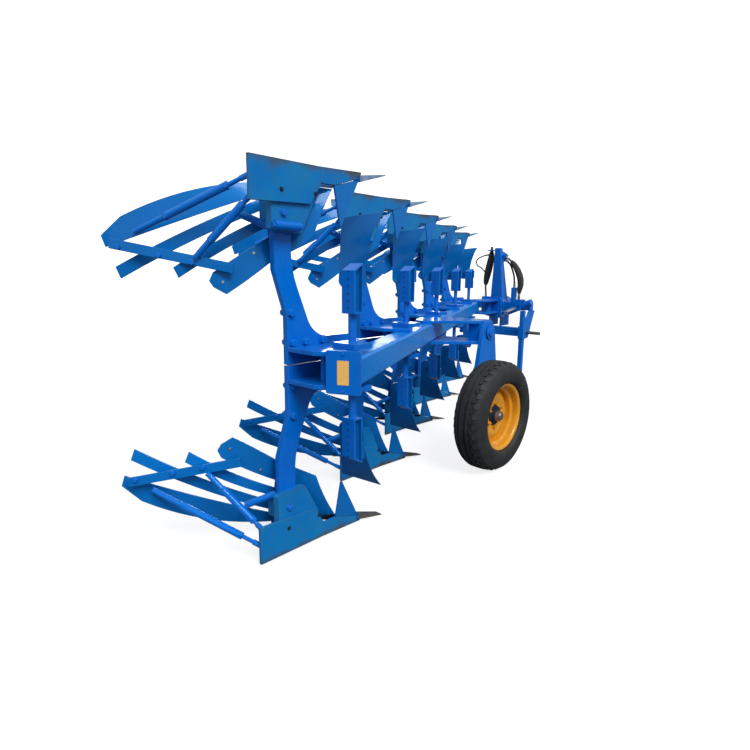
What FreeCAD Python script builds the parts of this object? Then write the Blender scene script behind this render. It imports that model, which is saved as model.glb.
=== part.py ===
"""Mounted reversible mouldboard plough with five pairs of slatted bodies.

The row frame has +Y forward along the travel, +X to the right and +Z up. Its origin is the
middle of the lower hitch pins' axis, and the ground lies the hitch height below it.
Stations are counted from the rear. A station's own measures are taken from the point of its
share: forward along the travel, left across it and up from the ground.
"""
import FreeCAD, Part
import math
import os
import re

import Sketcher
from FreeCAD import Placement, Rotation, Vector

# Driving dimensions: alias, value in millimetres (degrees for angles), meaning.
SIZES = [
    ("hitch_height", 540, "lower hitch pins above the ground"),
    ("beam_height", 840, "beam centre and turnover axis above the ground"),
    ("furrow_count", 5, "pairs of bodies along the beam"),
    ("furrow_width", 418, "sideways step from one body to the next"),
    ("station_pitch", 884, "forward step from one body to the next"),
    ("tip_right", 1670, "rear share point right of the turnover axis"),
    ("beam_meets_axis", 473, "beam's middle line crosses the turnover axis behind the hitch pins"),
    # beam
    ("beam_side", 120, "side of the square beam tube"),
    ("beam_wall", 10, "wall of the beam tube"),
    ("beam_round", 14, "outer corner radius of the beam tube"),
    ("beam_overrun", 60, "beam tube past the turnover axis"),
    ("beam_start_back", 468, "beam's rear end behind the rear share point"),
    ("beam_start_right", 219, "beam's rear end right of the rear share point"),
    ("end_plate_width", 150, "width of the plate that closes the beam"),
    ("end_plate_height", 180, "height of that plate"),
    ("end_plate_depth", 12, "thickness of that plate"),
    ("end_plate_round", 8, "corner radius of that plate"),
    ("label_width", 50, "blank label plate on the end plate"),
    ("label_height", 100, "height of the blank label plate"),
    ("label_depth", 1.2, "thickness of the blank label plate"),
    # consoles that carry the legs
    ("console_depth", 20, "thickness of a console plate"),
    ("console_back", 525, "rear edge of a console plate behind the share point"),
    ("console_front", 100, "front edge of a console plate behind the share point"),
    ("console_right_back", 351, "right corner of a console plate behind the share point"),
    ("console_right", 201, "right corner of a console plate right of the share point"),
    ("console_inner_back", 247, "inner corner of a console plate behind the share point"),
    ("console_inner_right", 96, "inner corner of a console plate right of the share point"),
    ("spacer_radius", 15, "spacer tube between two console plates"),
    ("spacer_back", 430, "spacer tube behind the share point"),
    ("spacer_right", 60, "spacer tube right of the share point"),
    # legs
    ("leg_depth", 30, "thickness of a leg"),
    ("leg_left", 80, "middle plane of a leg left of the share point"),
    ("leg_back", 585, "rear edge of a leg behind the share point"),
    ("leg_width", 90, "width of a leg"),
    ("leg_waist_back", 525, "rear edge of a leg's foot behind the share point"),
    ("leg_kink_high", 405, "upper kink of a leg's rear edge from the beam plane"),
    ("leg_kink_low", 220, "lower kink of a leg's rear edge from the beam plane"),
    ("leg_end_gap", 4, "end of a leg above its frog's arm"),
    ("leg_foot_back", 110, "front end of a leg's foot behind the share point"),
    ("leg_foot_high", 112, "edge of a leg's foot from the beam plane"),
    ("leg_split", 2, "half the gap between the two legs of a station"),
    ("leg_throat_round", 130, "radius of the curve between a leg and its foot"),
    ("leg_neck_round", 420, "radius of a leg's gentle bend"),
    # landsides, frogs, points and fins
    ("landside_right", 13, "outer face of a landside left of the share point"),
    ("landside_depth", 16, "thickness of a landside"),
    ("landside_back", 731, "rear edge of a landside behind the share point"),
    ("landside_front", 372, "front edge of a landside behind the share point"),
    ("landside_low", 12, "lower edge of a landside above the ground"),
    ("landside_high", 178, "upper edge of a landside above the ground"),
    ("landside_shoulder", 85, "height of a landside at its front edge"),
    ("frog_back", 622, "rear edge of a frog behind the share point"),
    ("frog_front", 470, "front edge of a frog behind the share point"),
    ("frog_high", 290, "top of a frog above the ground"),
    ("frog_arm_high", 236, "top of a frog's arm above the ground"),
    ("frog_arm_depth", 90, "height of a frog's arm"),
    ("frog_arm_width", 100, "length of a frog's arm along the travel"),
    ("frog_arm_left", 160, "end of a frog's arm left of the share point"),
    ("point_nose_back", 128, "front edge of a point holder behind the share point"),
    ("point_high", 78, "height of a point holder"),
    ("chisel_width", 42, "width of a chisel point"),
    ("chisel_inset", 22, "base of a chisel point behind the front edge of its holder"),
    ("chisel_low", 20, "underside of a chisel point's base above the ground"),
    ("chisel_base", 30, "thickness of a chisel point at its base"),
    ("chisel_edge", 6, "thickness of a chisel point at its tip"),
    ("fin_apex_back", 252, "apex of a fin behind the share point"),
    ("fin_apex_high", 245, "apex of a fin above the ground"),
    ("fin_back", 292, "rear edge of a fin behind the share point"),
    ("fin_front", 140, "front edge of a fin behind the share point"),
    ("fin_depth", 10, "thickness of a fin"),
    # mouldboards
    ("slat_depth", 9, "thickness of mouldboard slats and breasts"),
    ("share_depth", 12, "thickness of a share"),
    ("share_wing_left", 410, "outer end of a share's cutting edge left of the point"),
    ("share_wing_back", 430, "outer end of a share's cutting edge behind the point"),
    ("rail_width", 40, "width of the rail behind the slats"),
    ("rail_depth", 10, "thickness of the rail behind the slats"),
    ("stay_radius", 10, "radius of a stay's ends"),
    ("stay_sleeve_radius", 16, "radius of a stay's turnbuckle sleeve"),
    # skimmers
    ("stem_width", 36, "width of a skimmer stem"),
    ("stem_depth", 16, "thickness of a skimmer stem"),
    ("stem_back", 340, "skimmer stem behind the share point"),
    ("stem_right", 140, "skimmer stem right of the share point"),
    ("stem_foot_length", 110, "length of the plate that a skimmer stem hangs from"),
    ("stem_foot_width", 130, "width of that plate"),
    ("stem_foot_depth", 24, "thickness of that plate"),
    ("holder_width", 75, "width of a skimmer's holder"),
    ("holder_depth", 53, "depth of a skimmer's holder along the travel"),
    ("holder_start", 226, "start of a skimmer's holder from the beam plane"),
    ("holder_reach", 405, "rear edge of that holder's end from the beam plane"),
    ("holder_slant", 30, "how much further the front edge of that end reaches"),
    ("skim_depth", 8, "thickness of a skimmer's board"),
    ("skim_round", 36, "radius of the upper corners of a skimmer's board"),
    ("skim_arm_high", 462, "middle of a skimmer's arm above the ground"),
    ("skim_arm_width", 56, "height of a skimmer's arm"),
    ("skim_arm_depth", 16, "thickness of a skimmer's arm and of its flange"),
    # gauge wheel
    ("wheel_ahead", 1010, "gauge wheel's axle ahead of the rear share point"),
    ("wheel_right", 75, "gauge wheel's middle plane right of the rear share point"),
    ("tyre_radius", 350, "outer radius of the tyre"),
    ("tyre_width", 204, "width of the tyre"),
    ("rim_radius", 194, "seat of the tyre's bead on the rim"),
    ("rim_flange_radius", 212, "outer radius of the rim's flanges"),
    ("rim_width", 150, "width of the rim between its flanges"),
    ("rim_wall", 6, "thickness of the rim's sheet"),
    ("hub_radius", 52, "radius of the wheel hub"),
    ("hub_length", 120, "length of the wheel hub"),
    ("axle_radius", 20, "radius of the stub axle"),
    ("axle_fit", 0.05, "running clearance of the axle in its hub"),
    ("pivot_ahead", 1270, "gauge wheel's pivot ahead of the rear share point"),
    ("pivot_radius", 30, "radius of the gauge wheel's pivot pin"),
    ("arm_depth", 30, "thickness of the gauge wheel's arm"),
    ("arm_right", -150, "middle plane of the arm right of the rear share point"),
    ("arm_width", 150, "width of the gauge wheel's arm at its pivot"),
    # headstock
    ("cross_side", 100, "side of the headstock's cross beam"),
    ("cross_half", 430, "half length of the headstock's cross beam"),
    ("cheek_depth", 20, "thickness of a cheek plate"),
    ("cheek_back", 60, "rear edge of a cheek plate behind the hitch pins"),
    ("cheek_low", -70, "lower edge of a cheek plate from the hitch pins"),
    ("cheek_ahead", 191, "upper front corner of a cheek plate ahead of the hitch pins"),
    ("cheek_toe", 52, "lower front corner of a cheek plate ahead of the hitch pins"),
    ("hitch_pin_radius", 18.3, "radius of a lower hitch pin"),
    ("hitch_pin_length", 172, "free length of a lower hitch pin"),
    ("housing_radius", 110, "outer radius of the turnover bearing housing"),
    ("housing_start", 40, "rear face of that housing ahead of the hitch pins"),
    ("housing_length", 250, "length of that housing"),
    ("upper_tube_ahead", 105, "middle of the headstock's upper tubes ahead of the hitch pins"),
    ("upper_tube_height", 90, "height of those tubes"),
    ("upper_tube_depth", 80, "depth of those tubes along the travel"),
    ("shaft_radius", 40, "radius of the turnover shaft"),
    ("shaft_fit", 0.06, "running clearance of the turnover shaft"),
    ("mast_base_width", 158, "width of the mast at its foot"),
    ("mast_base_depth", 140, "depth of the mast along the travel at its foot"),
    ("mast_base_ahead", 115, "middle of the mast's foot ahead of the hitch pins"),
    ("mast_top_width", 70, "width of the mast at its top"),
    ("mast_top_depth", 60, "depth of the mast along the travel at its top"),
    ("mast_top_ahead", 50, "middle of the mast's top ahead of the hitch pins"),
    ("mast_foot", 75, "foot of the mast above the beam plane"),
    ("mast_reach", 690, "top of the mast above the beam plane"),
    ("top_link_radius", 16.2, "radius of the top link's bore"),
    ("top_link_ahead", 180, "top link's bore ahead of the hitch pins"),
    ("top_link_drop", 100, "top link's bore below the top of the mast"),
    ("top_ear_depth", 16, "thickness of a top link ear"),
    ("top_ear_apart", 56, "middle planes of the top link ears apart"),
    ("top_ear_round", 32, "radius of a top link ear about its bore"),
    # hoses
    ("hose_radius", 11, "outer radius of the long hoses"),
    ("loop_radius", 8, "outer radius of the looped hose"),
    ("left_sleeve_radius", 48, "radius of the wrap about the left hoses"),
    ("right_sleeve_radius", 32, "radius of the wrap about the outer right hose"),
    ("coupling_radius", 16, "radius of a hose's coupling"),
    ("coupling_length", 38, "length of a hose's coupling above the shelf"),
    ("shelf_depth", 12, "thickness of the shelf that holds the left hoses"),
    ("shelf_length", 134, "length of that shelf across the travel"),
    ("shelf_width", 92, "width of that shelf and of the right hoses' bracket along the travel"),
    ("valve_width", 52, "width of the valve block"),
    ("valve_depth", 54, "depth of the valve block along the travel"),
    ("valve_right", 206, "middle of the valve block right of the turnover axis"),
    # turnover cylinder
    ("barrel_radius", 40, "outer radius of the turnover cylinder's barrel"),
    ("rod_radius", 25, "radius of the turnover cylinder's rod"),
    ("eye_radius", 35, "radius of the rod's eye"),
    ("barrel_right", 360, "barrel's trunnion right of the turnover axis"),
    ("barrel_front", 165, "front end of the barrel from its trunnion"),
    ("barrel_back", 152, "rear end of the barrel from its trunnion"),
    ("barrel_end", 12, "thickness of the barrel's rear end"),
    ("gland_fit", 0.3, "running clearance of the rod in the barrel"),
    ("rod_length", 343, "length of the rod from its end in the barrel to its eye"),
    ("trunnion_radius", 14, "radius of the barrel's trunnion"),
    ("trunnion_fit", 0.06, "running clearance of that trunnion"),
    ("bracket_width", 60, "width of the trunnion's bracket"),
    ("bracket_height", 132, "height of that bracket"),
    ("bracket_depth", 16, "thickness of that bracket's cheeks"),
    ("bracket_rise", 20, "middle of that bracket above the beam plane"),
    ("crank_reach", 150, "crank's pin from the turnover axis"),
    ("cylinder_back", 10, "cylinder's middle plane behind the hitch pins"),
    ("crank_gap", 5, "crank plate behind the barrel"),
    ("flange_depth", 25, "thickness of the crank plate"),
    ("eye_length", 36, "length of the rod's eye"),
    ("eye_pin_radius", 14, "radius of the pin in the rod's eye"),
    ("eye_pin_gap", 1.5, "end of that pin from the crank plate"),
    # parking stand
    ("stand_side", 50, "side of the parking stand's leg"),
    ("stand_right", 440, "parking stand right of the turnover axis"),
    ("stand_length", 800, "length of the parking stand's leg"),
    ("stand_fit", 0.5, "clearance of the stand's leg in its sleeve"),
    ("sleeve_wall", 8, "wall of the parking stand's sleeve"),
    ("sleeve_length", 150, "length of the parking stand's sleeve"),
]

doc = FreeCAD.newDocument("ReversiblePlough")
sheet = doc.addObject("Spreadsheet::Sheet", "Sizes")
for line, (alias, amount, meaning) in enumerate(SIZES, start=1):
    sheet.set(f"A{line}", alias)
    sheet.set(f"B{line}", str(amount))
    sheet.set(f"C{line}", meaning)
    sheet.setAlias(f"B{line}", alias)
doc.recompute()

ALIASES = {alias for alias, _, _ in SIZES}
# Measures that follow from the driving ones.
DERIVED = {
    "tip_back": "(beam_meets_axis - beam_start_back"
                " + (tip_right + beam_start_right) * station_pitch / furrow_width)",
    "beam_length": "(beam_overrun + (tip_right + beam_start_right)"
                   " * sqrt(furrow_width ^ 2 + station_pitch ^ 2) / furrow_width)",
}
SKETCH_AXES = {"XY_Plane": (0, 1), "XZ_Plane": (0, 2), "YZ_Plane": (1, 2)}
nodes = []


def linked(formula):
    """Turn a formula in plain aliases into one that reads the sheet."""
    for name, meaning in DERIVED.items():
        formula = re.sub(rf"\b{name}\b", meaning, str(formula))
    return re.sub(r"[a-z_]+", lambda m: ("Sizes." + m.group()) if m.group() in ALIASES else m.group(),
                  formula)


def size(formula):
    """Work out a formula in aliases as a number."""
    return float(sheet.evalExpression(linked(formula)))


def bind(thing, **formulas):
    """Bind properties to formulas; a double underscore stands for a dot."""
    for name, formula in formulas.items():
        thing.setExpression(name.replace("__", "."), linked(formula))


def place(thing, base, turn=None):
    """Put a thing at three formulas, turned by a rotation."""
    thing.Placement = Placement(Vector(*[size(f) for f in base]), turn or Rotation())
    for axis, formula in zip("xyz", base):
        thing.setExpression("Placement.Base." + axis, linked(formula))


def node(name, thing):
    """Hand a finished sub-part in under its own label."""
    thing.Label = name
    nodes.append(thing)
    return thing


def new_body(name):
    body = doc.addObject("PartDesign::Body", name)
    body.AllowCompound = True
    return body


def bound_sketch(body, name, plane, outline):
    """Draw a closed outline whose corners are bound to formulas."""
    sketch = body.newObject("Sketcher::SketchObject", name)
    support = [feature for feature in body.Origin.OriginFeatures if feature.Role == plane][0]
    sketch.AttachmentSupport = [(support, "")]
    sketch.MapMode = "FlatFace"
    corners = [(size(x), size(y)) for x, y in outline]
    count = len(corners)
    for i, corner in enumerate(corners):
        following = corners[(i + 1) % count]
        sketch.addGeometry(Part.LineSegment(Vector(*corner, 0), Vector(*following, 0)), False)
    for i in range(count):
        sketch.addConstraint(Sketcher.Constraint("Coincident", i, 2, (i + 1) % count, 1))
    for i, formulas in enumerate(outline):
        for kind, formula, amount in zip(("DistanceX", "DistanceY"), formulas, corners[i]):
            index = sketch.addConstraint(Sketcher.Constraint(kind, -1, 1, i, 1, amount))
            sketch.setExpression(f"Constraints[{index}]", linked(formula))
    return sketch


def edges_at(shape, plane, corner):
    """Name the edges that stand on a corner of a padded outline."""
    across = [axis for axis in range(3) if axis not in SKETCH_AXES[plane]][0]
    found = []
    for index, edge in enumerate(shape.Edges, start=1):
        ends = [vertex.Point for vertex in edge.Vertexes]
        if len(ends) == 2 and abs(ends[0][across] - ends[1][across]) > 0.5 * edge.Length:
            middle = (ends[0] + ends[1]) * 0.5
            gap = math.hypot(middle[SKETCH_AXES[plane][0]] - corner[0],
                             middle[SKETCH_AXES[plane][1]] - corner[1])
            if gap < 0.01:
                found.append(f"Edge{index}")
    return found


def plate(name, plane, outline, depth, base, rounds=(), turn=None):
    """Pad an outline evenly to both sides of its plane and round its corners."""
    body = new_body(name)
    sketch = bound_sketch(body, name + "_outline", plane, outline)
    pad = body.newObject("PartDesign::Pad", name + "_pad")
    pad.Profile = sketch
    pad.Midplane = True
    bind(pad, Length=depth)
    doc.recompute()
    last = pad
    for corners, radius in rounds:
        picked = [edge for corner in corners
                  for edge in edges_at(last.Shape, plane, [size(f) for f in outline[corner]])]
        fillet = body.newObject("PartDesign::Fillet", name + "_round")
        fillet.Base = (last, picked)
        bind(fillet, Radius=radius)
        doc.recompute()
        last = fillet
    place(body, base, turn)
    return body


def turned(name, profile, base, turn=None):
    """Revolve a profile of (along, radius) formulas about the body's X axis."""
    body = new_body(name)
    sketch = bound_sketch(body, name + "_profile", "XY_Plane", profile)
    solid = body.newObject("PartDesign::Revolution", name + "_turned")
    solid.Profile = sketch
    solid.ReferenceAxis = (sketch, ["H_Axis"])
    solid.Angle = 360
    doc.recompute()
    place(body, base, turn)
    return body


def box(name, lengths, centre, turn=None):
    """Make a box from three lengths about a centre."""
    block = doc.addObject("Part::Box", name)
    bind(block, Length=lengths[0], Width=lengths[1], Height=lengths[2])
    place(block, [f"({c}) - ({length}) / 2" for c, length in zip(centre, lengths)], turn)
    return block


AXIS_TURNS = {"x": Rotation(Vector(0, 1, 0), 90), "y": Rotation(Vector(1, 0, 0), -90), "z": Rotation()}


def cylinder(name, radius, length, centre, axis):
    """Make a cylinder about a centre along x, y or z."""
    round_bar = doc.addObject("Part::Cylinder", name)
    bind(round_bar, Radius=radius, Height=length)
    base = [f"({c}) - ({length}) / 2" if letter == axis else c for letter, c in zip("xyz", centre)]
    place(round_bar, base, AXIS_TURNS[axis])
    return round_bar


def fuse(name, things):
    joined = doc.addObject("Part::MultiFuse", name)
    joined.Shapes = things
    joined.Refine = True
    return joined


def cut(name, kept, tool):
    rest = doc.addObject("Part::Cut", name)
    rest.Base = kept
    rest.Tool = tool
    rest.Refine = True
    return rest


def group(name, things):
    """Collect solids that don't touch."""
    gathered = doc.addObject("Part::Compound", name)
    gathered.Links = things
    return gathered


def mirrored(name, source, normal, base=("0", "0", "0")):
    twin = doc.addObject("Part::Mirroring", name)
    twin.Source = source
    twin.Normal = normal
    bind(twin, Base__x=base[0], Base__y=base[1], Base__z=base[2])
    return twin


def at_stations(name, source):
    """Repeat a piece of the rear station at every station."""
    copies = []
    for station in range(int(size("furrow_count"))):
        copy = doc.addObject("App::Link", name + "_copy")
        copy.LinkedObject = source
        copy.LinkTransform = True
        bind(copy, Placement__Base__x=f"-{station} * furrow_width",
             Placement__Base__y=f"{station} * station_pitch")
        copies.append(copy)
    return group(name, copies)


def upper(name, lower):
    """Mirror lower pieces in the beam plane."""
    return mirrored(name, lower, Vector(0, 0, 1), ("0", "0", "beam_height - hitch_height"))


def station_point(forward, left, up):
    """A point of the rear station in its own frame."""
    return Vector(-left, forward, up)


def station_feature(name, shape):
    """Hold a shape that was worked out in the rear station's own frame."""
    feature = doc.addObject("Part::Feature", name)
    feature.Shape = shape
    place(feature, STATION)
    return feature


def sheet_between(low_edge, high_edge, thickness):
    """Span two edges, each given by two or more points, and thicken the sheet by a vector."""
    edges = []
    for points in (low_edge, high_edge):
        if len(points) == 2:
            edges.append(Part.LineSegment(*points).toShape())
        else:
            curve = Part.BSplineCurve()
            curve.interpolate(points)
            edges.append(curve.toShape())
    return Part.makeRuledSurface(*edges).extrude(thickness)


def bar_between(start, end, width, depth):
    """A flat bar from one point to another, its width upright."""
    run = end - start
    flat = Vector(run.x, run.y, 0).normalize()
    side = Vector(-flat.y, flat.x, 0) * (depth / 2)
    rise = run.cross(side).normalize() * (width / 2)
    corners = [start + side + rise, start - side + rise, start - side - rise, start + side - rise]
    return Part.Face(Part.makePolygon(corners + corners[:1])).extrude(run)


def wedge_between(back, back_left, back_low, back_depth, tip, tip_left, tip_low, tip_depth, half):
    """A bar of even width whose thickness changes from its base to its tip."""
    ends = []
    for forward, left, low, depth in ((back, back_left, back_low, back_depth),
                                      (tip, tip_left, tip_low, tip_depth)):
        corners = [station_point(forward, left - half, low), station_point(forward, left + half, low),
                   station_point(forward, left + half, low + depth),
                   station_point(forward, left - half, low + depth)]
        ends.append(Part.makePolygon(corners + corners[:1]))
    return Part.makeLoft(ends, True, True)


def rod_between(start, end, radius):
    run = end - start
    return Part.makeCylinder(radius, run.Length, start, run)


STATION = ("tip_right", "-tip_back", "-hitch_height")
BEAM_PLANE = "beam_height - hitch_height"


# ---------------------------------------------------------------- beam and consoles
def make_beam():
    half = "beam_side / 2"
    inner = "beam_side / 2 - beam_wall"
    square = [(f"-{half}", f"-{half}"), (half, f"-{half}"), (half, half), (f"-{half}", half)]
    base = ("tip_right + beam_start_right", "-tip_back - beam_start_back", BEAM_PLANE)
    body = new_body("beam_tube")
    outline = bound_sketch(body, "beam_outline", "XZ_Plane", square)
    pad = body.newObject("PartDesign::Pad", "beam_pad")
    pad.Profile = outline
    pad.Reversed = True
    bind(pad, Length="beam_length")
    inside = [[measure.replace(half, f"({inner})") for measure in corner] for corner in square]
    hollow = bound_sketch(body, "beam_hollow", "XZ_Plane", inside)
    pocket = body.newObject("PartDesign::Pocket", "beam_pocket")
    pocket.Profile = hollow
    pocket.Type = "ThroughAll"
    pocket.Midplane = True
    doc.recompute()
    corners = [edge for corner in square
               for edge in edges_at(pocket.Shape, "XZ_Plane", [size(f) for f in corner])]
    fillet = body.newObject("PartDesign::Fillet", "beam_round")
    fillet.Base = (pocket, corners)
    bind(fillet, Radius="beam_round")
    place(body, base)
    bind(body, Placement__Rotation__Angle="atan(furrow_width / station_pitch)")
    body.Placement.Rotation.Axis = Vector(0, 0, 1)
    node("main_beam", body)


def make_end_plate():
    wide, tall = "end_plate_width / 2", "end_plate_height / 2"
    outline = [(f"-{wide}", f"-{tall}"), (wide, f"-{tall}"), (wide, tall), (f"-{wide}", tall)]
    slope = beam_turn()
    run = Vector(math.sin(math.radians(slope)), -math.cos(math.radians(slope)), 0)
    start = ("tip_right + beam_start_right", "-tip_back - beam_start_back", BEAM_PLANE)
    for name, depth, skin in (("beam_end_plate", "end_plate_depth", "0"),
                              ("blank_label", "label_depth", "end_plate_depth")):
        if name == "blank_label":
            wide, tall = "label_width / 2", "label_height / 2"
            outline = [(f"-{wide}", f"-{tall}"), (wide, f"-{tall}"), (wide, tall), (f"-{wide}", tall)]
        shift = f"({skin} + {depth} / 2)"
        base = (f"{start[0]} + {run.x} * {shift}", f"{start[1]} + {run.y} * {shift}", start[2])
        body = plate(name, "XZ_Plane", outline, depth, base,
                     rounds=[((0, 1, 2, 3), "end_plate_round" if skin == "0" else "4")],
                     turn=Rotation(Vector(0, 0, 1), slope))
        node(name, body)


def beam_turn():
    """The beam's turn from the travel, in degrees to the left."""
    return math.degrees(math.atan2(size("furrow_width"), size("station_pitch")))


def make_consoles():
    outline = [
        ("-leg_left + leg_depth / 2", "-console_back"),
        ("beam_start_right - (console_back - beam_start_back) * station_pitch / furrow_width",
         "-console_back"),
        ("beam_start_right + beam_side / 4", "-beam_start_back + beam_side / 4"),
        ("console_right", "-console_right_back"),
        ("console_inner_right", "-console_inner_back"),
        ("0", "-console_front"),
        ("-leg_left + leg_depth / 2", "-console_front"),
    ]
    level = f"{BEAM_PLANE} - beam_side / 2 - console_depth / 2"
    low = plate("console_plate", "XY_Plane", outline, "console_depth",
                ("tip_right", "-tip_back", level), rounds=[((3, 4, 5), "30")])
    high = mirrored("console_plate_top", low, Vector(0, 0, 1), ("0", "0", BEAM_PLANE))
    node("console_plates", at_stations("consoles", group("console_pair", [low, high])))
    spacer = cylinder("console_spacer", "spacer_radius", "beam_side",
                      ("tip_right + spacer_right", "-tip_back - spacer_back", BEAM_PLANE), "z")
    node("console_spacers", at_stations("spacers", spacer))


# ---------------------------------------------------------------- legs and bodies
def make_legs():
    low = "beam_height"
    outline = [
        ("-leg_back", "frog_arm_high + leg_end_gap"),
        ("-leg_back + leg_width", "frog_arm_high + leg_end_gap"),
        ("-leg_back + leg_width", f"{low} - leg_kink_high"),
        ("-leg_back + leg_width + 120", f"{low} - leg_foot_high"),
        ("-leg_foot_back", f"{low} - leg_foot_high"),
        ("-leg_foot_back", f"{low} - leg_split"),
        ("-leg_waist_back", f"{low} - leg_split"),
        ("-leg_waist_back", f"{low} - leg_kink_low"),
        ("-leg_back", f"{low} - leg_kink_high"),
    ]
    leg = plate("leg", "YZ_Plane", outline, "leg_depth",
                ("tip_right - leg_left", "-tip_back", "-hitch_height"),
                rounds=[((3,), "leg_throat_round"), ((2,), "leg_neck_round"), ((4,), "20")])
    lower = node("legs_lower", at_stations("legs", leg))
    node("legs_upper", upper("legs_mirrored", lower))


def make_frogs():
    inner = "landside_right + landside_depth"
    face = "leg_left - leg_depth / 2"
    cheek = plate("frog_cheek", "YZ_Plane", [
        ("-frog_back", "30"),
        ("-frog_back", "frog_high - 8"),
        ("-frog_front", "frog_high"),
        ("-landside_front - 20", "landside_shoulder + 60"),
        ("-landside_front - 20", "30"),
    ], f"{face} - ({inner})",
        (f"tip_right - ({face} + {inner}) / 2", "-tip_back", "-hitch_height"), rounds=[((1, 2), "12")])
    arm = box("frog_arm", (f"frog_arm_left - ({face})", "frog_arm_width", "frog_arm_depth"),
              (f"tip_right - ({face} + frog_arm_left) / 2",
               "-tip_back - frog_back + frog_arm_width / 2 + 40",
               "-hitch_height + frog_arm_high - frog_arm_depth / 2"))
    seam, shin = [[p + slat_thickness() for p in edge] for edge in breast_edges()]
    ahead = station_feature("frog_ahead", sheet_between(seam, shin, slat_thickness() * -14))
    lower = node("frogs_lower", at_stations("frogs", fuse("frog", [cheek, cut("frog_seat", arm, ahead)])))
    node("frogs_upper", upper("frogs_mirrored", lower))


def make_landsides():
    plane = ("tip_right - landside_right - landside_depth / 2", "-tip_back", "-hitch_height")
    landside = plate("landside", "YZ_Plane", [
        ("-landside_back", "landside_low"),
        ("-landside_front", "landside_low"),
        ("-landside_front", "landside_shoulder"),
        ("-landside_front - 56", "landside_high - 10"),
        ("-landside_back", "landside_high"),
    ], "landside_depth", plane)
    lower = node("landsides_lower", at_stations("landsides", landside))
    node("landsides_upper", upper("landsides_mirrored", lower))
    holder = plate("point_holder", "YZ_Plane", [
        ("-landside_front", "landside_low"),
        ("-point_nose_back", "4"),
        ("-point_nose_back", "30"),
        ("-fin_back", "point_high"),
        ("-landside_front", "point_high"),
    ], "landside_depth", plane)
    side = size("landside_right + landside_depth / 2")
    back = -size("point_nose_back + chisel_inset")
    chisel = station_feature("chisel", wedge_between(
        back, side, size("chisel_low"), size("chisel_base"), 0, 0, 0, size("chisel_edge"),
        size("chisel_width") / 2))
    point = fuse("point", [holder, chisel])
    lower = node("points_lower", at_stations("points", point))
    node("points_upper", upper("points_mirrored", lower))
    fin = plate("fin", "YZ_Plane", [
        ("-fin_back", "point_high + 0.3"),
        ("-fin_front", "36"),
        ("-fin_apex_back + 4", "fin_apex_high"),
        ("-fin_apex_back - 4", "fin_apex_high"),
    ], "fin_depth", plane)
    lower = node("fins_lower", at_stations("fins", cut("fin_seated", fin, point)))
    node("fins_upper", upper("fins_mirrored", lower))


# The seam where the slats meet the breast, from its low to its high end.
SEAM_LOW = (-520, 225, 62)
SEAM_HIGH = (-545, 135, 403)
# Each slat: its low and high edge's share of the seam, the points that its low edge and its
# high edge pass, and the points of its cropped end, if it has one.
SLATS = {
    "a": ((0.03, 0.17), [(-760, 368, 118), (-990, 530, 232)], [(-765, 352, 222), (-1010, 545, 338)],
          [(-1050, 580, 306), (-1038, 573, 352)]),
    "b": ((0.22, 0.36), [(-775, 345, 266), (-1022, 532, 430)], [(-765, 335, 312), (-1006, 526, 477)], None),
    "c": ((0.45, 0.58), [(-710, 245, 312), (-876, 340, 430)], [(-700, 240, 356), (-856, 338, 472)], None),
    "d": ((0.70, 1.00), [(-650, 185, 368), (-765, 232, 448)], [(-630, 168, 470), (-722, 205, 536)],
          [(-778, 240, 482), (-764, 232, 508)]),
}


def seam_point(share):
    low, high = station_point(*SEAM_LOW), station_point(*SEAM_HIGH)
    return low + (high - low) * share


def slat_thickness():
    """The direction in which slats and breasts are thick: backwards to the landside."""
    return station_point(-0.66, -0.75, 0).normalize() * size("slat_depth")


def make_slats():
    slats = []
    for shares, low, high, end in SLATS.values():
        low_edge = [seam_point(shares[0])] + [station_point(*p) for p in low]
        high_edge = [seam_point(shares[1])] + [station_point(*p) for p in high]
        slat = sheet_between(low_edge, high_edge, slat_thickness())
        if end:
            low_end, high_end = [station_point(*p) for p in end]
            slat = slat.fuse(sheet_between([low_edge[-1], low_end], [high_edge[-1], high_end],
                                           slat_thickness()))
        slats.append(station_feature("slat", slat))
    lower = node("slats_lower", at_stations("slats", group("slat_set", slats)))
    node("slats_upper", upper("slats_mirrored", lower))


def breast_edges():
    """The seam and the shin, which bound a breast."""
    return ([station_point(*SEAM_LOW), station_point(*SEAM_HIGH)],
            [station_point(-286, 36, 92), station_point(-335, 44, 182), station_point(-375, 62, 300)])


def make_breasts():
    breast = station_feature("breast", sheet_between(*breast_edges(), slat_thickness()))
    lower = node("breasts_lower", at_stations("breasts", breast))
    node("breasts_upper", upper("breasts_mirrored", lower))


def make_shares():
    left = size("share_wing_left")
    back = size("share_wing_back")
    cutting = [station_point(-size("point_nose_back") - 6, 37.5, 0), station_point(-back, left, 0)]
    upper_edge = [station_point(-284, 38, 88), station_point(-back - 100, left - 110, 56)]
    thickness = station_point(-0.76, -0.65, 0).normalize() * size("share_depth")
    share = station_feature("share", sheet_between(cutting, upper_edge, thickness))
    lower = node("shares_lower", at_stations("shares", share))
    node("shares_upper", upper("shares_mirrored", lower))


RAIL_ENDS = ((-1048, 515, 338), (-718, 157, 432))
STAYS = (
    ((-966, 466, 292), (-712, 36, 84)),
    ((-826, 251, 388), (-700, 36.8, 150)),
    ((-674, 202, 206), (-577, 103, 262)),
)


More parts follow.
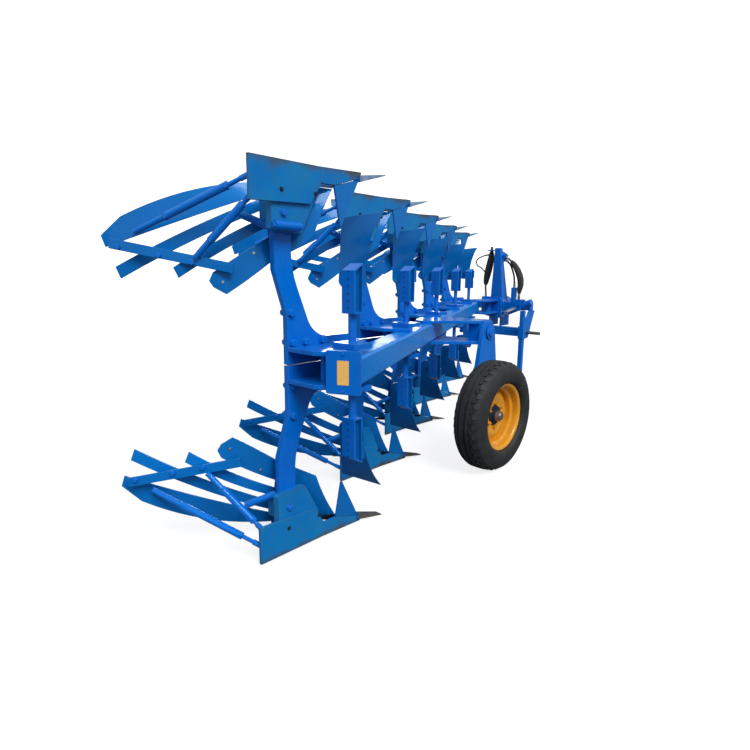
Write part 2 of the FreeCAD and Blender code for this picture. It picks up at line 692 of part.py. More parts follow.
def make_rails_and_stays():
    start, end = [station_point(*p) for p in RAIL_ENDS]
    rail = station_feature("rail", bar_between(start, end, size("rail_width"), size("rail_depth")))
    lower = node("rails_lower", at_stations("rails", rail))
    node("rails_upper", upper("rails_mirrored", lower))
    stays = []
    for low, high in STAYS:
        start, end = station_point(*low), station_point(*high)
        middle = (end - start) * 0.5
        sleeve = rod_between(start + middle * 0.35, end - middle * 0.35, size("stay_sleeve_radius"))
        stays.append(station_feature("stay", rod_between(start, end, size("stay_radius")).fuse(sleeve)))
    lower = node("stays_lower", at_stations("stays", group("stay_set", stays)))
    node("stays_upper", upper("stays_mirrored", lower))


# ---------------------------------------------------------------- skimmers
# The two side edges of a skimmer's board, from the cutting edge to the crest.
SKIM_HEEL = ((-60, 209, 184), (-175, 115, 515))
SKIM_SHIN = ((0, -15, 164), (-82, -2, 300), (-100, 18, 520))


def rounded_block(heel, shin, thickness):
    """A long block across a skimmer's board that rounds its upper corners."""
    across = thickness / thickness.Length
    reach = across * size("holder_reach")
    corners = [heel[-1], shin[-1]] + [edge[0] + (edge[0] - edge[-1]) * 0.1 for edge in (shin, heel)]
    flat = [p - across * (p - heel[0]).dot(across) - reach for p in corners]
    block = Part.Face(Part.makePolygon(flat + flat[:1])).extrude(reach * 2)
    crest = [edge for edge in block.Edges
             if abs(edge.Length - 2 * reach.Length) < 0.01 and edge.CenterOfMass.z > size("skim_arm_high")]
    return block.makeFillet(size("skim_round"), crest)


def make_skimmers():
    back, side = "-tip_back - stem_back", "tip_right + stem_right"
    console = "beam_side / 2 + console_depth"
    stem = box("stem_bar", ("stem_depth", "stem_width", f"holder_start - ({console})"),
               (side, back, f"{BEAM_PLANE} - ({console} + holder_start) / 2"))
    foot = box("stem_foot", ("stem_foot_width", "stem_foot_length", "stem_foot_depth"),
               (side, back, f"{BEAM_PLANE} - ({console} + stem_foot_depth / 2)"))
    holder = plate("skim_holder", "YZ_Plane", [
        ("-holder_depth / 2", "-holder_start"),
        ("holder_depth / 2", "-holder_start"),
        ("holder_depth / 2", "-holder_reach - holder_slant"),
        ("-holder_depth / 2", "-holder_reach"),
    ], "holder_width", (side, back, BEAM_PLANE))
    lower = node("skimmer_stems_lower", at_stations("stems", fuse("stem", [stem, foot, holder])))
    node("skimmer_stems_upper", upper("stems_mirrored", lower))

    thickness = station_point(-0.75, -0.65, 0).normalize() * size("skim_depth")
    heel, shin = [[station_point(*p) for p in edge] for edge in (SKIM_HEEL, SKIM_SHIN)]
    sheet_metal = sheet_between(heel, shin, thickness)
    board = station_feature("skim_board", sheet_metal.common(rounded_block(heel, shin, thickness)))
    inside = [[p + thickness * 0.5 for p in edge] for edge in (heel, shin)]
    ahead = station_feature("skim_ahead", sheet_between(*inside, thickness * -14))
    high = size("skim_arm_high")
    start = station_point(-size("stem_back - holder_depth / 2 - skim_arm_depth / 2"),
                          -size("stem_right"), high)
    end = (inside[0][-1] + inside[1][-1]) * 0.5 - thickness * 4
    end.z = high
    bar = bar_between(start, end, size("skim_arm_width"), size("skim_arm_depth"))
    arm = station_feature("skim_arm", bar)
    flange = box("skim_flange", ("holder_width", "skim_arm_depth", "holder_width"),
                 (side, f"{back} + holder_depth / 2 + skim_arm_depth / 2", "skim_arm_high - hitch_height"))
    skimmer = fuse("skimmer", [board, cut("skim_arm_fitted", arm, ahead), flange])
    lower = node("skimmer_boards_lower", at_stations("skim_boards", skimmer))
    node("skimmer_boards_upper", upper("skim_boards_mirrored", lower))


# ---------------------------------------------------------------- gauge wheel
def make_wheel():
    centre = ("tip_right + wheel_right", "-tip_back + wheel_ahead", "tyre_radius - hitch_height")
    half = "tyre_width / 2"
    bead = "rim_width / 2 - rim_wall"
    tyre = turned("tyre", [
        (f"-({bead})", "rim_radius + 1"),
        (f"{bead}", "rim_radius + 1"),
        (f"{bead}", "rim_flange_radius + 3"),
        (half, "rim_flange_radius + 50"),
        (half, "tyre_radius - 45"),
        (f"{half} - 22", "tyre_radius - 8"),
        ("45", "tyre_radius"),
        ("-45", "tyre_radius"),
        (f"-{half} + 22", "tyre_radius - 8"),
        (f"-{half}", "tyre_radius - 45"),
        (f"-{half}", "rim_flange_radius + 50"),
        (f"-({bead})", "rim_flange_radius + 3"),
    ], centre)
    node("tyre", tyre)
    edge = "rim_width / 2"
    rim = turned("rim", [
        (f"-{edge}", "rim_radius - rim_wall"),
        (f"{edge}", "rim_radius - rim_wall"),
        (f"{edge}", "rim_flange_radius"),
        (f"{edge} - rim_wall", "rim_flange_radius"),
        (f"{edge} - rim_wall", "rim_radius"),
        (f"-{edge} + rim_wall", "rim_radius"),
        (f"-{edge} + rim_wall", "rim_flange_radius"),
        (f"-{edge}", "rim_flange_radius"),
    ], centre)
    disc = turned("wheel_disc", [
        ("-10", "hub_radius - 8"),
        ("-2", "hub_radius - 8"),
        ("6", "150"),
        ("-12", "rim_radius - rim_wall + 1"),
        ("-20", "rim_radius - rim_wall + 1"),
        ("-2", "148"),
    ], centre)
    node("wheel_rim", fuse("rim_and_disc", [rim, disc]))
    hub = turned("hub", [
        ("-hub_length / 2 - 20", "axle_radius + axle_fit"),
        ("hub_length / 2 - 12", "axle_radius + axle_fit"),
        ("hub_length / 2 - 12", "0"),
        ("hub_length / 2", "0"),
        ("hub_length / 2", "hub_radius - 24"),
        ("hub_length / 2 - 20", "hub_radius - 10"),
        ("-2.5", "hub_radius - 8.3"),
        ("-10.3", "hub_radius - 8.3"),
        ("-10.3", "hub_radius + 30"),
        ("-22", "hub_radius + 30"),
        ("-22", "hub_radius"),
        ("-hub_length / 2 - 20", "hub_radius - 12"),
    ], centre)
    node("wheel_hub", hub)


def make_wheel_arm():
    arm_x = "tip_right + arm_right"
    pivot = (arm_x, "-tip_back + pivot_ahead", BEAM_PLANE)
    drop = "beam_height - tyre_radius"
    reach = "pivot_ahead - wheel_ahead"
    blade = plate("arm_blade", "YZ_Plane", [
        ("-arm_width / 2", "20"),
        ("-arm_width / 2 - 50", f"-({drop}) * 0.45"),
        (f"-({reach}) - 52", f"-({drop}) + 10"),
        (f"-({reach}) - 40", f"-({drop}) - 48"),
        (f"-({reach}) + 40", f"-({drop}) - 48"),
        ("arm_width / 2 + 40", f"-({drop}) * 0.45"),
        ("arm_width / 2", "20"),
        ("arm_width / 4", "arm_width / 2"),
        ("-arm_width / 4", "arm_width / 2"),
    ], "arm_depth", pivot, rounds=[((0, 6), "20"), ((3, 4), "20"), ((1, 5), "60")])
    bore = cylinder("arm_bore", "pivot_radius + 0.06", "2 * arm_depth", pivot, "x")
    node("wheel_arm", cut("arm", blade, bore))
    start = f"({arm_x} + arm_depth / 2)"
    end = "(tip_right + wheel_right + hub_length / 2 - 14)"
    centre = (f"({start} + {end}) / 2", "-tip_back + wheel_ahead", "tyre_radius - hitch_height")
    axle = cylinder("stub", "axle_radius", f"{end} - {start}", centre, "x")
    node("stub_axle", axle)


def make_wheel_console():
    pivot_y = "-tip_back + pivot_ahead"
    outline = [
        ("0", "-80"),
        ("0", "80"),
        ("-355", "30"),
        ("-420", "-50"),
        ("-440", "-150"),
        ("-355", "-320"),
        ("-272", "-350"),
        ("-105", "-170"),
    ]
    level = f"{BEAM_PLANE} - beam_side / 2 - console_depth / 2"
    edge = "tip_right + arm_right - arm_depth / 2 - 5"
    low = plate("wheel_plate", "XY_Plane", outline, "console_depth", (edge, pivot_y, level),
                rounds=[((4, 5, 6), "20")])
    high = mirrored("wheel_plate_top", low, Vector(0, 0, 1), ("0", "0", BEAM_PLANE))
    block = box("pivot_block", ("90", "130", "beam_side"), (f"{edge} - 45", pivot_y, BEAM_PLANE))
    node("wheel_console", fuse("wheel_bracket", [low, high, block]))
    pin = cylinder("pivot_pin", "pivot_radius", "arm_depth + 30",
                   ("tip_right + arm_right + 10", pivot_y, BEAM_PLANE), "x")
    cap = cylinder("pivot_cap", "pivot_radius + 16", "8",
                   ("tip_right + arm_right + 24.5", pivot_y, BEAM_PLANE), "x")
    node("wheel_pivot", fuse("pivot", [pin, cap]))


# ---------------------------------------------------------------- turning head and headstock
FLANGE_BACK = "(cylinder_back + barrel_radius + crank_gap + flange_depth / 2)"


def make_turning_head():
    pin = "crank_reach * 0.7071"
    flange = plate("head_flange", "XZ_Plane", [
        ("-130", "-110"),
        (f"{pin} - 40", f"-{pin} - 40"),
        (f"{pin} + 40", f"-{pin} - 40"),
        (f"{pin} + 40", f"-{pin} + 40"),
        ("130", "110"),
        ("-130", "110"),
    ], "flange_depth", ("0", f"-{FLANGE_BACK}", BEAM_PLANE),
        rounds=[((2,), "38"), ((1, 3), "25"), ((0, 4, 5), "20")])
    shaft_end = "(housing_start + housing_length + 30)"
    shaft = cylinder("head_shaft", "shaft_radius", f"{shaft_end} + {FLANGE_BACK}",
                     ("0", f"({shaft_end} - {FLANGE_BACK}) / 2", BEAM_PLANE), "y")
    node("turning_head", fuse("head", [flange, shaft]))
    outline = [
        ("-110", "0"), ("-125", "-380"), ("-10", "-450"), ("150", "-400"), ("150", "-280"), ("110", "0"),
    ]
    level = f"{BEAM_PLANE} - beam_side / 2 - console_depth / 2"
    front = f"-{FLANGE_BACK} - flange_depth / 2"
    low = plate("head_plate", "XY_Plane", outline, "console_depth", ("0", front, level))
    high = mirrored("head_plate_top", low, Vector(0, 0, 1), ("0", "0", BEAM_PLANE))
    post = cylinder("head_post", "45", "beam_side", ("0", f"{front} - 75", BEAM_PLANE), "z")
    node("head_plates", fuse("head_clevis", [low, high, post]))


def make_headstock():
    cross = box("cross_tube", ("2 * cross_half", "cross_side", "cross_side"), ("0", "0", "0"))
    node("headstock_crossbeam", cross)
    cheek = plate("cheek", "YZ_Plane", [
        ("-cheek_back", "cheek_low"),
        ("cheek_toe", "cheek_low"),
        ("cheek_ahead", f"{BEAM_PLANE} - upper_tube_height / 2"),
        ("upper_tube_ahead - upper_tube_depth / 2 - 10", f"{BEAM_PLANE} - upper_tube_height / 2"),
        ("-cheek_back", "cross_side - 10"),
    ], "cheek_depth", ("cross_half + cheek_depth / 2", "0", "0"), rounds=[((0, 1), "30"), ((2,), "6")])
    other = mirrored("cheek_left", cheek, Vector(1, 0, 0))
    node("headstock_cheeks", group("cheeks", [cheek, other]))
    pins = []
    for side in (1, -1):
        middle = f"{side} * (cross_half + cheek_depth + hitch_pin_length / 2)"
        pins.append(cylinder("hitch_pin", "hitch_pin_radius", "hitch_pin_length", (middle, "0", "0"), "x"))
    node("hitch_pins", group("pins", pins))
    housing_y = "housing_start + housing_length / 2"
    shell = cylinder("housing_shell", "housing_radius", "housing_length", ("0", housing_y, BEAM_PLANE), "y")
    bore = cylinder("housing_bore", "shaft_radius + shaft_fit", "2 * housing_length",
                    ("0", housing_y, BEAM_PLANE), "y")
    node("turnover_housing", cut("housing", shell, bore))
    ring = cylinder("lock_ring", "shaft_radius + 25", "14",
                    ("0", "housing_start + housing_length + 15", BEAM_PLANE), "y")
    hole = cylinder("lock_hole", "shaft_radius", "60",
                    ("0", "housing_start + housing_length + 15", BEAM_PLANE), "y")
    node("shaft_collar", cut("collar", ring, hole))
    tubes = []
    for side in (1, -1):
        reach = "(cross_half + cheek_depth)"
        tubes.append(box("upper_tube", (reach, "upper_tube_depth", "upper_tube_height"),
                         (f"{side} * {reach} / 2", "upper_tube_ahead", BEAM_PLANE)))
    upper_tubes = cut("upper_tubes_fitted", group("upper_tubes", tubes),
                      cylinder("housing_clear", "housing_radius", "2 * housing_length",
                               ("0", housing_y, BEAM_PLANE), "y"))
    node("headstock_upper_tubes", upper_tubes)
    webs = []
    for side in (1, -1):
        webs.append(box("web", ("20", "200", f"{BEAM_PLANE} - cross_side / 2"),
                        (f"{side} * 75", "housing_start + 100",
                         f"cross_side / 2 + ({BEAM_PLANE} - cross_side / 2) / 2")))
    fitted = cut("webs_fitted", group("webs", webs),
                 cylinder("web_clear", "housing_radius", "2 * housing_length",
                          ("0", housing_y, BEAM_PLANE), "y"))
    node("headstock_webs", fitted)


def mast_front(high):
    """How far the mast's front face lies ahead of the hitch pins at a height above the beam plane."""
    base, top = "(mast_base_ahead + mast_base_depth / 2)", "(mast_top_ahead + mast_top_depth / 2)"
    return f"({base} - ({base} - {top}) * (({high}) - mast_foot) / (mast_reach - mast_foot))"


def make_mast():
    blade = doc.addObject("Part::Wedge", "mast_blade")
    bind(blade, Ymin="0", Ymax="mast_reach - mast_foot",
         Xmin="-mast_base_width / 2", Xmax="mast_base_width / 2",
         X2min="-mast_top_width / 2", X2max="mast_top_width / 2",
         Zmin="-mast_base_ahead - mast_base_depth / 2", Zmax="-mast_base_ahead + mast_base_depth / 2",
         Z2min="-mast_top_ahead - mast_top_depth / 2", Z2max="-mast_top_ahead + mast_top_depth / 2")
    place(blade, ("0", "0", f"{BEAM_PLANE} + mast_foot"), Rotation(Vector(1, 0, 0), 90))
    seat = cylinder("mast_seat", "housing_radius", "2 * housing_length",
                    ("0", "mast_base_ahead", BEAM_PLANE), "y")
    mast = node("mast", cut("mast_seated", blade, seat))
    bore_high = "mast_reach - top_link_drop"
    tip = "top_link_ahead + top_ear_round"
    foot, top = f"{bore_high} - 2 * top_ear_round", f"{bore_high} + 2 * top_ear_round"
    ears = []
    for side in (1, -1):
        ears.append(plate("top_ear", "YZ_Plane", [
            (mast_front(foot), foot),
            (tip, f"{bore_high} - top_ear_round"),
            (tip, f"{bore_high} + top_ear_round"),
            (mast_front(top), top),
        ], "top_ear_depth", (f"{side} * top_ear_apart / 2", "0", BEAM_PLANE),
            rounds=[((1, 2), "0.8 * top_ear_round")]))
    bore = cylinder("top_link_bore", "top_link_radius", "2 * top_ear_apart",
                    ("0", "top_link_ahead", f"{BEAM_PLANE} + {bore_high}"), "x")
    node("top_link_ears", cut("ears", group("ear_pair", ears), bore))
    return mast


# ---------------------------------------------------------------- hoses
# The points that each hose passes, from its upper coupling to its lower one.
HOSE_ROUTES = {
    "hose_left": ([(-142, 131, 960), (-142, 131, 895), (-164, 135, 790), (-203, 136, 622),
                   (-205, 124, 522), (-184, 105, 450), (-184, 105, 392)], "hose_radius"),
    "hose_loop": ([(-187, 131, 914), (-243, 131, 906), (-300, 131, 885), (-345, 131, 864),
                   (-361, 131, 821), (-341, 131, 779), (-294, 131, 762), (-256, 132, 732),
                   (-230, 134, 704)], "loop_radius"),
    "hose_right_outer": ([(69, 112, 884.87), (141.9, 112, 842.57), (217, 112, 757), (272, 110, 655),
                          (290, 108, 565), (274, 105, 482), (274, 105, 420)], "hose_radius"),
    "hose_right_inner": ([(50, 130, 852.12), (119, 130, 812.08), (162, 120, 728), (206, 105, 625),
                          (206, 105, 520)], "hose_radius"),
}
# Each wrap's radius and the shares of its hose's length between which it lies.
WRAPS = {
    "hose_left": ("left_sleeve_radius", 0.02, 0.70),
    "hose_right_outer": ("right_sleeve_radius", 0.32, 0.94),
}
ROUND_SHARE = 0.45


def route(points):
    """Join the runs between points by arcs that take up to a share of the shorter run."""
    edges, start = [], points[0]
    for before, corner, after in zip(points, points[1:], points[2:]):
        back, on = (before - corner), (after - corner)
        reach = ROUND_SHARE * min(back.Length, on.Length)
        into, out = corner + back.normalize() * reach, corner + on.normalize() * reach
        half_turn = (math.pi - back.getAngle(on)) / 2
        radius = reach / math.tan(half_turn)
        inwards = (back + on).normalize()
        middle = corner + inwards * (radius / math.cos(half_turn) - radius)
        edges.append(Part.LineSegment(start, into).toShape())
        edges.append(Part.Arc(into, middle, out).toShape())
        print("bend", round(radius), "mm")
        start = out
    edges.append(Part.LineSegment(start, points[-1]).toShape())
    return Part.Wire(edges)


def tube(wire, radius):
    """Sweep a disc along a wire."""
    first = wire.Edges[0]
    ring = Part.Wire([Part.makeCircle(radius, first.valueAt(first.FirstParameter),
                                      first.tangentAt(first.FirstParameter))])
    swept = wire.makePipeShell([ring], True, False)
    print("volume over section times length", swept.Volume / (math.pi * radius ** 2 * wire.Length))
    return swept


def stretch(wire, first, last):
    """The part of a wire between two shares of its length."""
    kept, run, total = [], 0.0, wire.Length
    for edge in wire.Edges:
        low, high = max(first * total - run, 0.0), min(last * total - run, edge.Length)
        if high - low > 0.01:
            start, end = [edge.getParameterByLength(amount) for amount in (low, high)]
            kept.append(edge.Curve.toShape(start, end))
        run += edge.Length
    return Part.Wire(kept)


def make_hoses(mast):
    for name, (points, radius) in HOSE_ROUTES.items():
        wire = route([Vector(*point) for point in points])
        solid = tube(wire, size(radius))
        if name in WRAPS:
            wrap, first, last = WRAPS[name]
            solid = solid.fuse(tube(stretch(wire, first, last), size(wrap)))
        feature = doc.addObject("Part::Feature", name)
        feature.Shape = solid
        node(name, feature)
    ends = {name: points[-1] for name, (points, _) in HOSE_ROUTES.items()}
    tube_top = f"({BEAM_PLANE} + upper_tube_height / 2)"
    high = ends["hose_right_inner"][2]
    node("valve_block", box("valve_post", ("valve_width", "valve_depth", f"{high} - {tube_top}"),
                            ("valve_right", "upper_tube_ahead", f"({high} + {tube_top}) / 2")))
    bosses = []
    for name in ("hose_left", "hose_right_outer"):
        right, ahead, high = ends[name]
        bosses.append(cylinder("boss", "coupling_radius", f"{high} - {tube_top}",
                               (str(right), str(ahead), f"({high} + {tube_top}) / 2"), "z"))
    node("coupling_bosses", group("boss_pair", bosses))
    right, ahead, high = HOSE_ROUTES["hose_left"][0][0]
    shelf = box("coupling_shelf", ("shelf_length", "shelf_width", "shelf_depth"),
                (f"{right} - coupling_radius - 6 + shelf_length / 2", str(ahead - 26),
                 f"{high} + shelf_depth / 2"))
    coupling = cylinder("coupling", "coupling_radius", "coupling_length",
                        (str(right), str(ahead), f"{high} + shelf_depth + coupling_length / 2"), "z")
    side = plate("coupling_side", "XZ_Plane", [("36", "828"), ("83", "909"), ("36", "909")], "shelf_width",
                 ("0", "112", "0"))
    couplings = group("coupling_parts", [fuse("left_couplings", [shelf, coupling]), side])
    node("coupling_holder", cut("couplings_fitted", couplings, mast))


def make_cylinder():
    middle = "-cylinder_back"
    reach = size("crank_reach") * math.sqrt(0.5)
    run = Vector(reach - size("barrel_right"), 0, -reach)
    turn = Rotation(Vector(0, 1, 0), -math.degrees(math.atan2(run.z, run.x)))
    base = ("barrel_right", middle, BEAM_PLANE)
    bore = "rod_radius + gland_fit"
    barrel = turned("barrel_shell", [
        ("-barrel_back", "0"), ("-barrel_back", "barrel_radius"), ("barrel_front", "barrel_radius"),
        ("barrel_front", bore), ("-barrel_back + barrel_end", bore), ("-barrel_back + barrel_end", "0"),
    ], base, turn)
    trunnion = cylinder("trunnion", "trunnion_radius", "2 * barrel_radius + 20", base, "y")
    hollow = turned("trunnion_clear", [
        ("-2 * barrel_radius", "0"), ("2 * barrel_radius", "0"),
        ("2 * barrel_radius", "rod_radius + 2"), ("-2 * barrel_radius", "rod_radius + 2"),
    ], base, turn)
    node("cylinder_barrel", fuse("barrel", [barrel, cut("trunnions", trunnion, hollow)]))
    rod = turned("rod_bar", [
        (f"{run.Length} - rod_length", "0"), (f"{run.Length} - rod_length", "rod_radius"),
        (f"{run.Length} - eye_radius / 2", "rod_radius"), (f"{run.Length} - eye_radius / 2", "0"),
    ], base, turn)
    eye = (f"barrel_right + {run.x}", middle, f"{BEAM_PLANE} + {run.z}")
    ring = cylinder("rod_eye_ring", "eye_radius", "eye_length", eye, "y")
    pin_front = f"({middle} + eye_length / 2 + 10)"
    pin_back = f"({middle} - barrel_radius - crank_gap + eye_pin_gap)"
    pin = cylinder("rod_eye_pin", "eye_pin_radius", f"{pin_front} - {pin_back}",
                   (eye[0], f"({pin_front} + {pin_back}) / 2", eye[2]), "y")
    node("cylinder_rod", fuse("rod", [rod, ring, pin]))

    pieces = []
    for side in (1, -1):
        ear = ("barrel_right", f"{middle} + {side} * (barrel_radius + 6 + bracket_depth / 2)", BEAM_PLANE)
        cheek = box("trunnion_cheek", ("bracket_width", "bracket_depth", "bracket_height"),
                    (*ear[:2], f"{BEAM_PLANE} + bracket_rise"))
        hole = cylinder("trunnion_hole", "trunnion_radius + trunnion_fit", "2 * bracket_depth", ear, "y")
        pieces.append(cut("trunnion_ear", cheek, hole))
    pieces.append(box("trunnion_bridge", ("bracket_width", "2 * (barrel_radius + 6 + bracket_depth)", "20"),
                      ("barrel_right", middle, f"{BEAM_PLANE} + bracket_rise + bracket_height / 2 - 10")))
    tube_back = "(upper_tube_ahead - upper_tube_depth / 2)"
    ear_front = f"({middle} + barrel_radius + 6 + bracket_depth)"
    pieces.append(box("trunnion_gusset",
                      ("bracket_width", f"{tube_back} - {ear_front}", "bracket_height / 2"),
                      ("barrel_right", f"({tube_back} + {ear_front}) / 2", BEAM_PLANE)))
    node("cylinder_bracket", fuse("bracket", pieces))


def make_stand():
    sleeve_y = "-cheek_back - stand_side / 2 - sleeve_wall - stand_fit"
    outer = "stand_side + 2 * sleeve_wall + 2 * stand_fit"
    inner = "stand_side + 2 * stand_fit"
    shell = box("sleeve_shell", (outer, outer, "sleeve_length"),
                ("stand_right", sleeve_y, "cheek_low + sleeve_length / 2"))
    hollow = box("sleeve_hollow", (inner, inner, "2 * sleeve_length"), ("stand_right", sleeve_y, "0"))
    node("stand_sleeve", cut("sleeve", shell, hollow))
    leg = box("stand_bar", ("stand_side", "stand_side", "stand_length - 10"),
              ("stand_right", sleeve_y, "-hitch_height + 10 + (stand_length - 10) / 2"))
    foot = box("stand_foot", ("120", "120", "10"), ("stand_right", sleeve_y, "-hitch_height + 5"))
    node("parking_stand", fuse("stand", [leg, foot]))


def check_and_export():
    doc.recompute()
    os.makedirs("parts", exist_ok=True)
    for thing in doc.Objects:
        if "Invalid" in thing.State or "Error" in thing.State:
            raise RuntimeError(f"{thing.Name} ({thing.Label}) failed: {thing.State}")
    for thing in nodes:
        shape = thing.Shape
        if shape.isNull() or not shape.isValid() or not shape.Solids:
            raise RuntimeError(f"{thing.Label} has no sound solid")
    for thing in nodes:
        thing.Shape.exportStep(f"parts/{thing.Label}.step")
        print(thing.Label, len(thing.Shape.Solids), round(thing.Shape.Volume / 1e6, 2), "litres")


make_beam()
make_end_plate()
make_consoles()
make_legs()
make_frogs()
make_landsides()
make_slats()
make_breasts()
make_shares()
make_rails_and_stays()
make_skimmers()
make_wheel()
make_wheel_arm()
make_wheel_console()
make_turning_head()
make_headstock()
make_hoses(make_mast())
make_cylinder()
make_stand()
check_and_export()
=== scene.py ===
import itertools
import math

import bmesh
import bpy
from bpy.props import FloatProperty, FloatVectorProperty, IntProperty, PointerProperty
from mathutils import Matrix, Vector


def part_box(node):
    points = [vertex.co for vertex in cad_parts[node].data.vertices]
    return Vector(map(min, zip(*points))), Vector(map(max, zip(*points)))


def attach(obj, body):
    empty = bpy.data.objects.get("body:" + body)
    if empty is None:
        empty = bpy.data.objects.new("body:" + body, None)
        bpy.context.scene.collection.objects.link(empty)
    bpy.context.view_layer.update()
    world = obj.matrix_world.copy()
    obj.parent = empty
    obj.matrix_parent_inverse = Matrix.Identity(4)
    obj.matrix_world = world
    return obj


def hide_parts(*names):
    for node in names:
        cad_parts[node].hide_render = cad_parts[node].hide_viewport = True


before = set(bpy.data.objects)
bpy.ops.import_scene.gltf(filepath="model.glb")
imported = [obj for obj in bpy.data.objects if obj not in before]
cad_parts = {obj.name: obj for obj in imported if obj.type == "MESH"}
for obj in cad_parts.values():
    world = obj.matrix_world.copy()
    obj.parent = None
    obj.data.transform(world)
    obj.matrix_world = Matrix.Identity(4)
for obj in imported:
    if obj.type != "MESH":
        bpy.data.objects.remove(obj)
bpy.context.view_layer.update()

bl_info = {
    "name": "Reversible Mouldboard Plough",
    "version": (1, 0, 0),
    "blender": (4, 5, 0),
    "location": "View3D > Sidebar > Plough",
    "description": "Dresses a mounted reversible plough in paint, wear, fastenings, tyre tread and hoses",
    "category": "Object",
}

FRAME_BODY = "plough_frame"
HEAD_BODY = "headstock"
WHEEL_BODY = "gauge_wheel"

# The rear landside fixes the rear station; the front one fixes the steps between stations.
LANDSIDE_BACK, LANDSIDE_FRONT = 0.731, 0.372
LANDSIDE_RIGHT, LANDSIDE_LEFT, LANDSIDE_LIFT = 0.013, 0.029, 0.012
CHISEL_START = -0.122
STATIONS = 5
side_low, side_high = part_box("landsides_lower")
beam_low, beam_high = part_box("main_beam")
TIP = Vector((side_high.x + LANDSIDE_RIGHT, side_low.y + LANDSIDE_BACK, side_low.z - LANDSIDE_LIFT))
PITCH = (side_high.y + LANDSIDE_FRONT - TIP.y) / (STATIONS - 1)
FURROW = (TIP.x - side_low.x - LANDSIDE_LEFT) / (STATIONS - 1)
BEAM_Z = (beam_low.z + beam_high.z) / 2
BEAM_ABOVE = BEAM_Z - TIP.z
RIGHT = Vector((1, 0, 0))


# ------ sizes and finishes
def colour_setting(name, description, default):
    return FloatVectorProperty(name=name, description=description, subtype="COLOR", default=default,
                               min=0, max=1)


def angle_setting(name, description, default):
    return FloatProperty(name=name, description=description, default=default, subtype="ANGLE")


def strength_setting(name, description, default):
    return FloatProperty(name=name, description=description, default=default, min=0, max=20)


def length_setting(name, description, default):
    return FloatProperty(name=name, description=description, default=default, min=0.002, unit="LENGTH")


def count_setting(name, description, default):
    return IntProperty(name=name, description=description, default=default, min=3, max=96)


class StageSettings(bpy.types.PropertyGroup):
    """Camera, floor and lights."""

    lens: FloatProperty(name="Lens", description="Focal length of the camera", default=25.96,
                        min=10, max=200, unit="CAMERA")
    place: FloatVectorProperty(name="Camera place", description="Where the camera stands",
                               default=(3.415, -5.976, 0.704), subtype="TRANSLATION")
    heading: angle_setting("Heading", "Turn of the view to the left of the travel", math.radians(42))
    pitch: angle_setting("Pitch", "How far the camera looks down", 0.1903)
    roll: angle_setting("Roll", "How far the camera leans", 0.00942)
    floor_colour: colour_setting("Floor", "Colour of the floor", (0.96, 0.96, 0.96))
    sky_colour: colour_setting("Sky", "Colour of the soft light", (0.93, 0.96, 1.0))
    sky_strength: strength_setting("Sky strength", "Soft light from all round", 0.62)
    key_strength: strength_setting("Key light", "Light from the right", 2.6)
    fill_strength: strength_setting("Fill light", "Light from the rear", 0.35)
    back_strength: strength_setting("Back light", "Low light from the front", 0.4)


class PaintSettings(bpy.types.PropertyGroup):
    """Colours of the finishes."""

    blue: colour_setting("Blue paint", "Gloss paint of frame and legs", (0.0, 0.15, 0.62))
    deep_blue: colour_setting("Deep blue", "Where the gloss paint is thicker", (0.0, 0.11, 0.50))
    slat: colour_setting("Slat paint", "Thinner paint on the slats and rails", (0.0, 0.155, 0.53))
    teal: colour_setting("Share paint", "Thin paint on shares and landsides", (0.004, 0.19, 0.46))
    brown: colour_setting("Bare brown steel", "Steel where the thin paint has gone", (0.12, 0.085, 0.045))
    steel: colour_setting("Dull steel", "Pins and old bare steel", (0.19, 0.17, 0.145))
    zinc: colour_setting("Bright bolts", "Zinc on bolts and nuts", (0.5, 0.52, 0.55))
    yellow: colour_setting("Wheel paint", "Paint of the rim", (0.80, 0.34, 0.010))
    label: colour_setting("Label", "Blank label on the end plate", (0.86, 0.5, 0.13))
    rubber: colour_setting("Tyre rubber", "Rubber of the tyre", (0.0085, 0.009, 0.0095))
    hose: colour_setting("Hose rubber", "Rubber of the hoses", (0.012, 0.012, 0.012))


class PloughSizes(bpy.types.PropertyGroup):
    """Sizes of the fastenings, the stays and the tread."""

    bolt_across: length_setting("Bolt width", "Width across flats of the large bolts", 0.030)
    bolt_head: length_setting("Bolt head", "Height of the large bolt heads", 0.016)
    small_bolt: length_setting("Small bolt", "Width across flats of the small bolts", 0.022)
    stay_rod: length_setting("Stay rod", "Radius of a stay's threaded ends", 0.009)
    stay_sleeve: length_setting("Stay sleeve", "Radius of a stay's sleeve", 0.0155)
    tread_blocks: count_setting("Tread blocks", "Blocks in each row of the outer shoulder", 34)
    tread_lugs: count_setting("Shoulder lugs", "Lugs round the inner shoulder of the tyre", 44)
    rim_nuts: count_setting("Wheel nuts", "Nuts that hold the wheel", 6)


def paints():
    return bpy.context.scene.plough_paint


def sizes():
    return bpy.context.scene.plough_sizes


# ------ shader nodes
def add(tree, kind, links=None, **settings):
    """Add a shader node, set its properties and link or set its inputs."""
    made = tree.nodes.new("ShaderNode" + kind)
    for key, value in settings.items():
        setattr(made, key, value)
    for key, value in (links or {}).items():
        if isinstance(value, bpy.types.NodeSocket):
            tree.links.new(value, made.inputs[key])
        else:
            made.inputs[key].default_value = value
    return made


def maths(tree, operation, first, second=0.0, clamp=False):
    """The result of an operation on two numbers."""
    return add(tree, "Math", {0: first, 1: second}, operation=operation, use_clamp=clamp).outputs[0]


def ranged(tree, value, first, last, low=0.0, high=1.0):
    """A number that runs from low to high as the value goes from the first to the last."""
    links = {"Value": value, "From Min": first, "From Max": last, "To Min": low, "To Max": high}
    return add(tree, "MapRange", links).outputs["Result"]


def own_place(tree):
    """The place on the object, in its own coordinates."""
    return add(tree, "TexCoord").outputs["Object"]


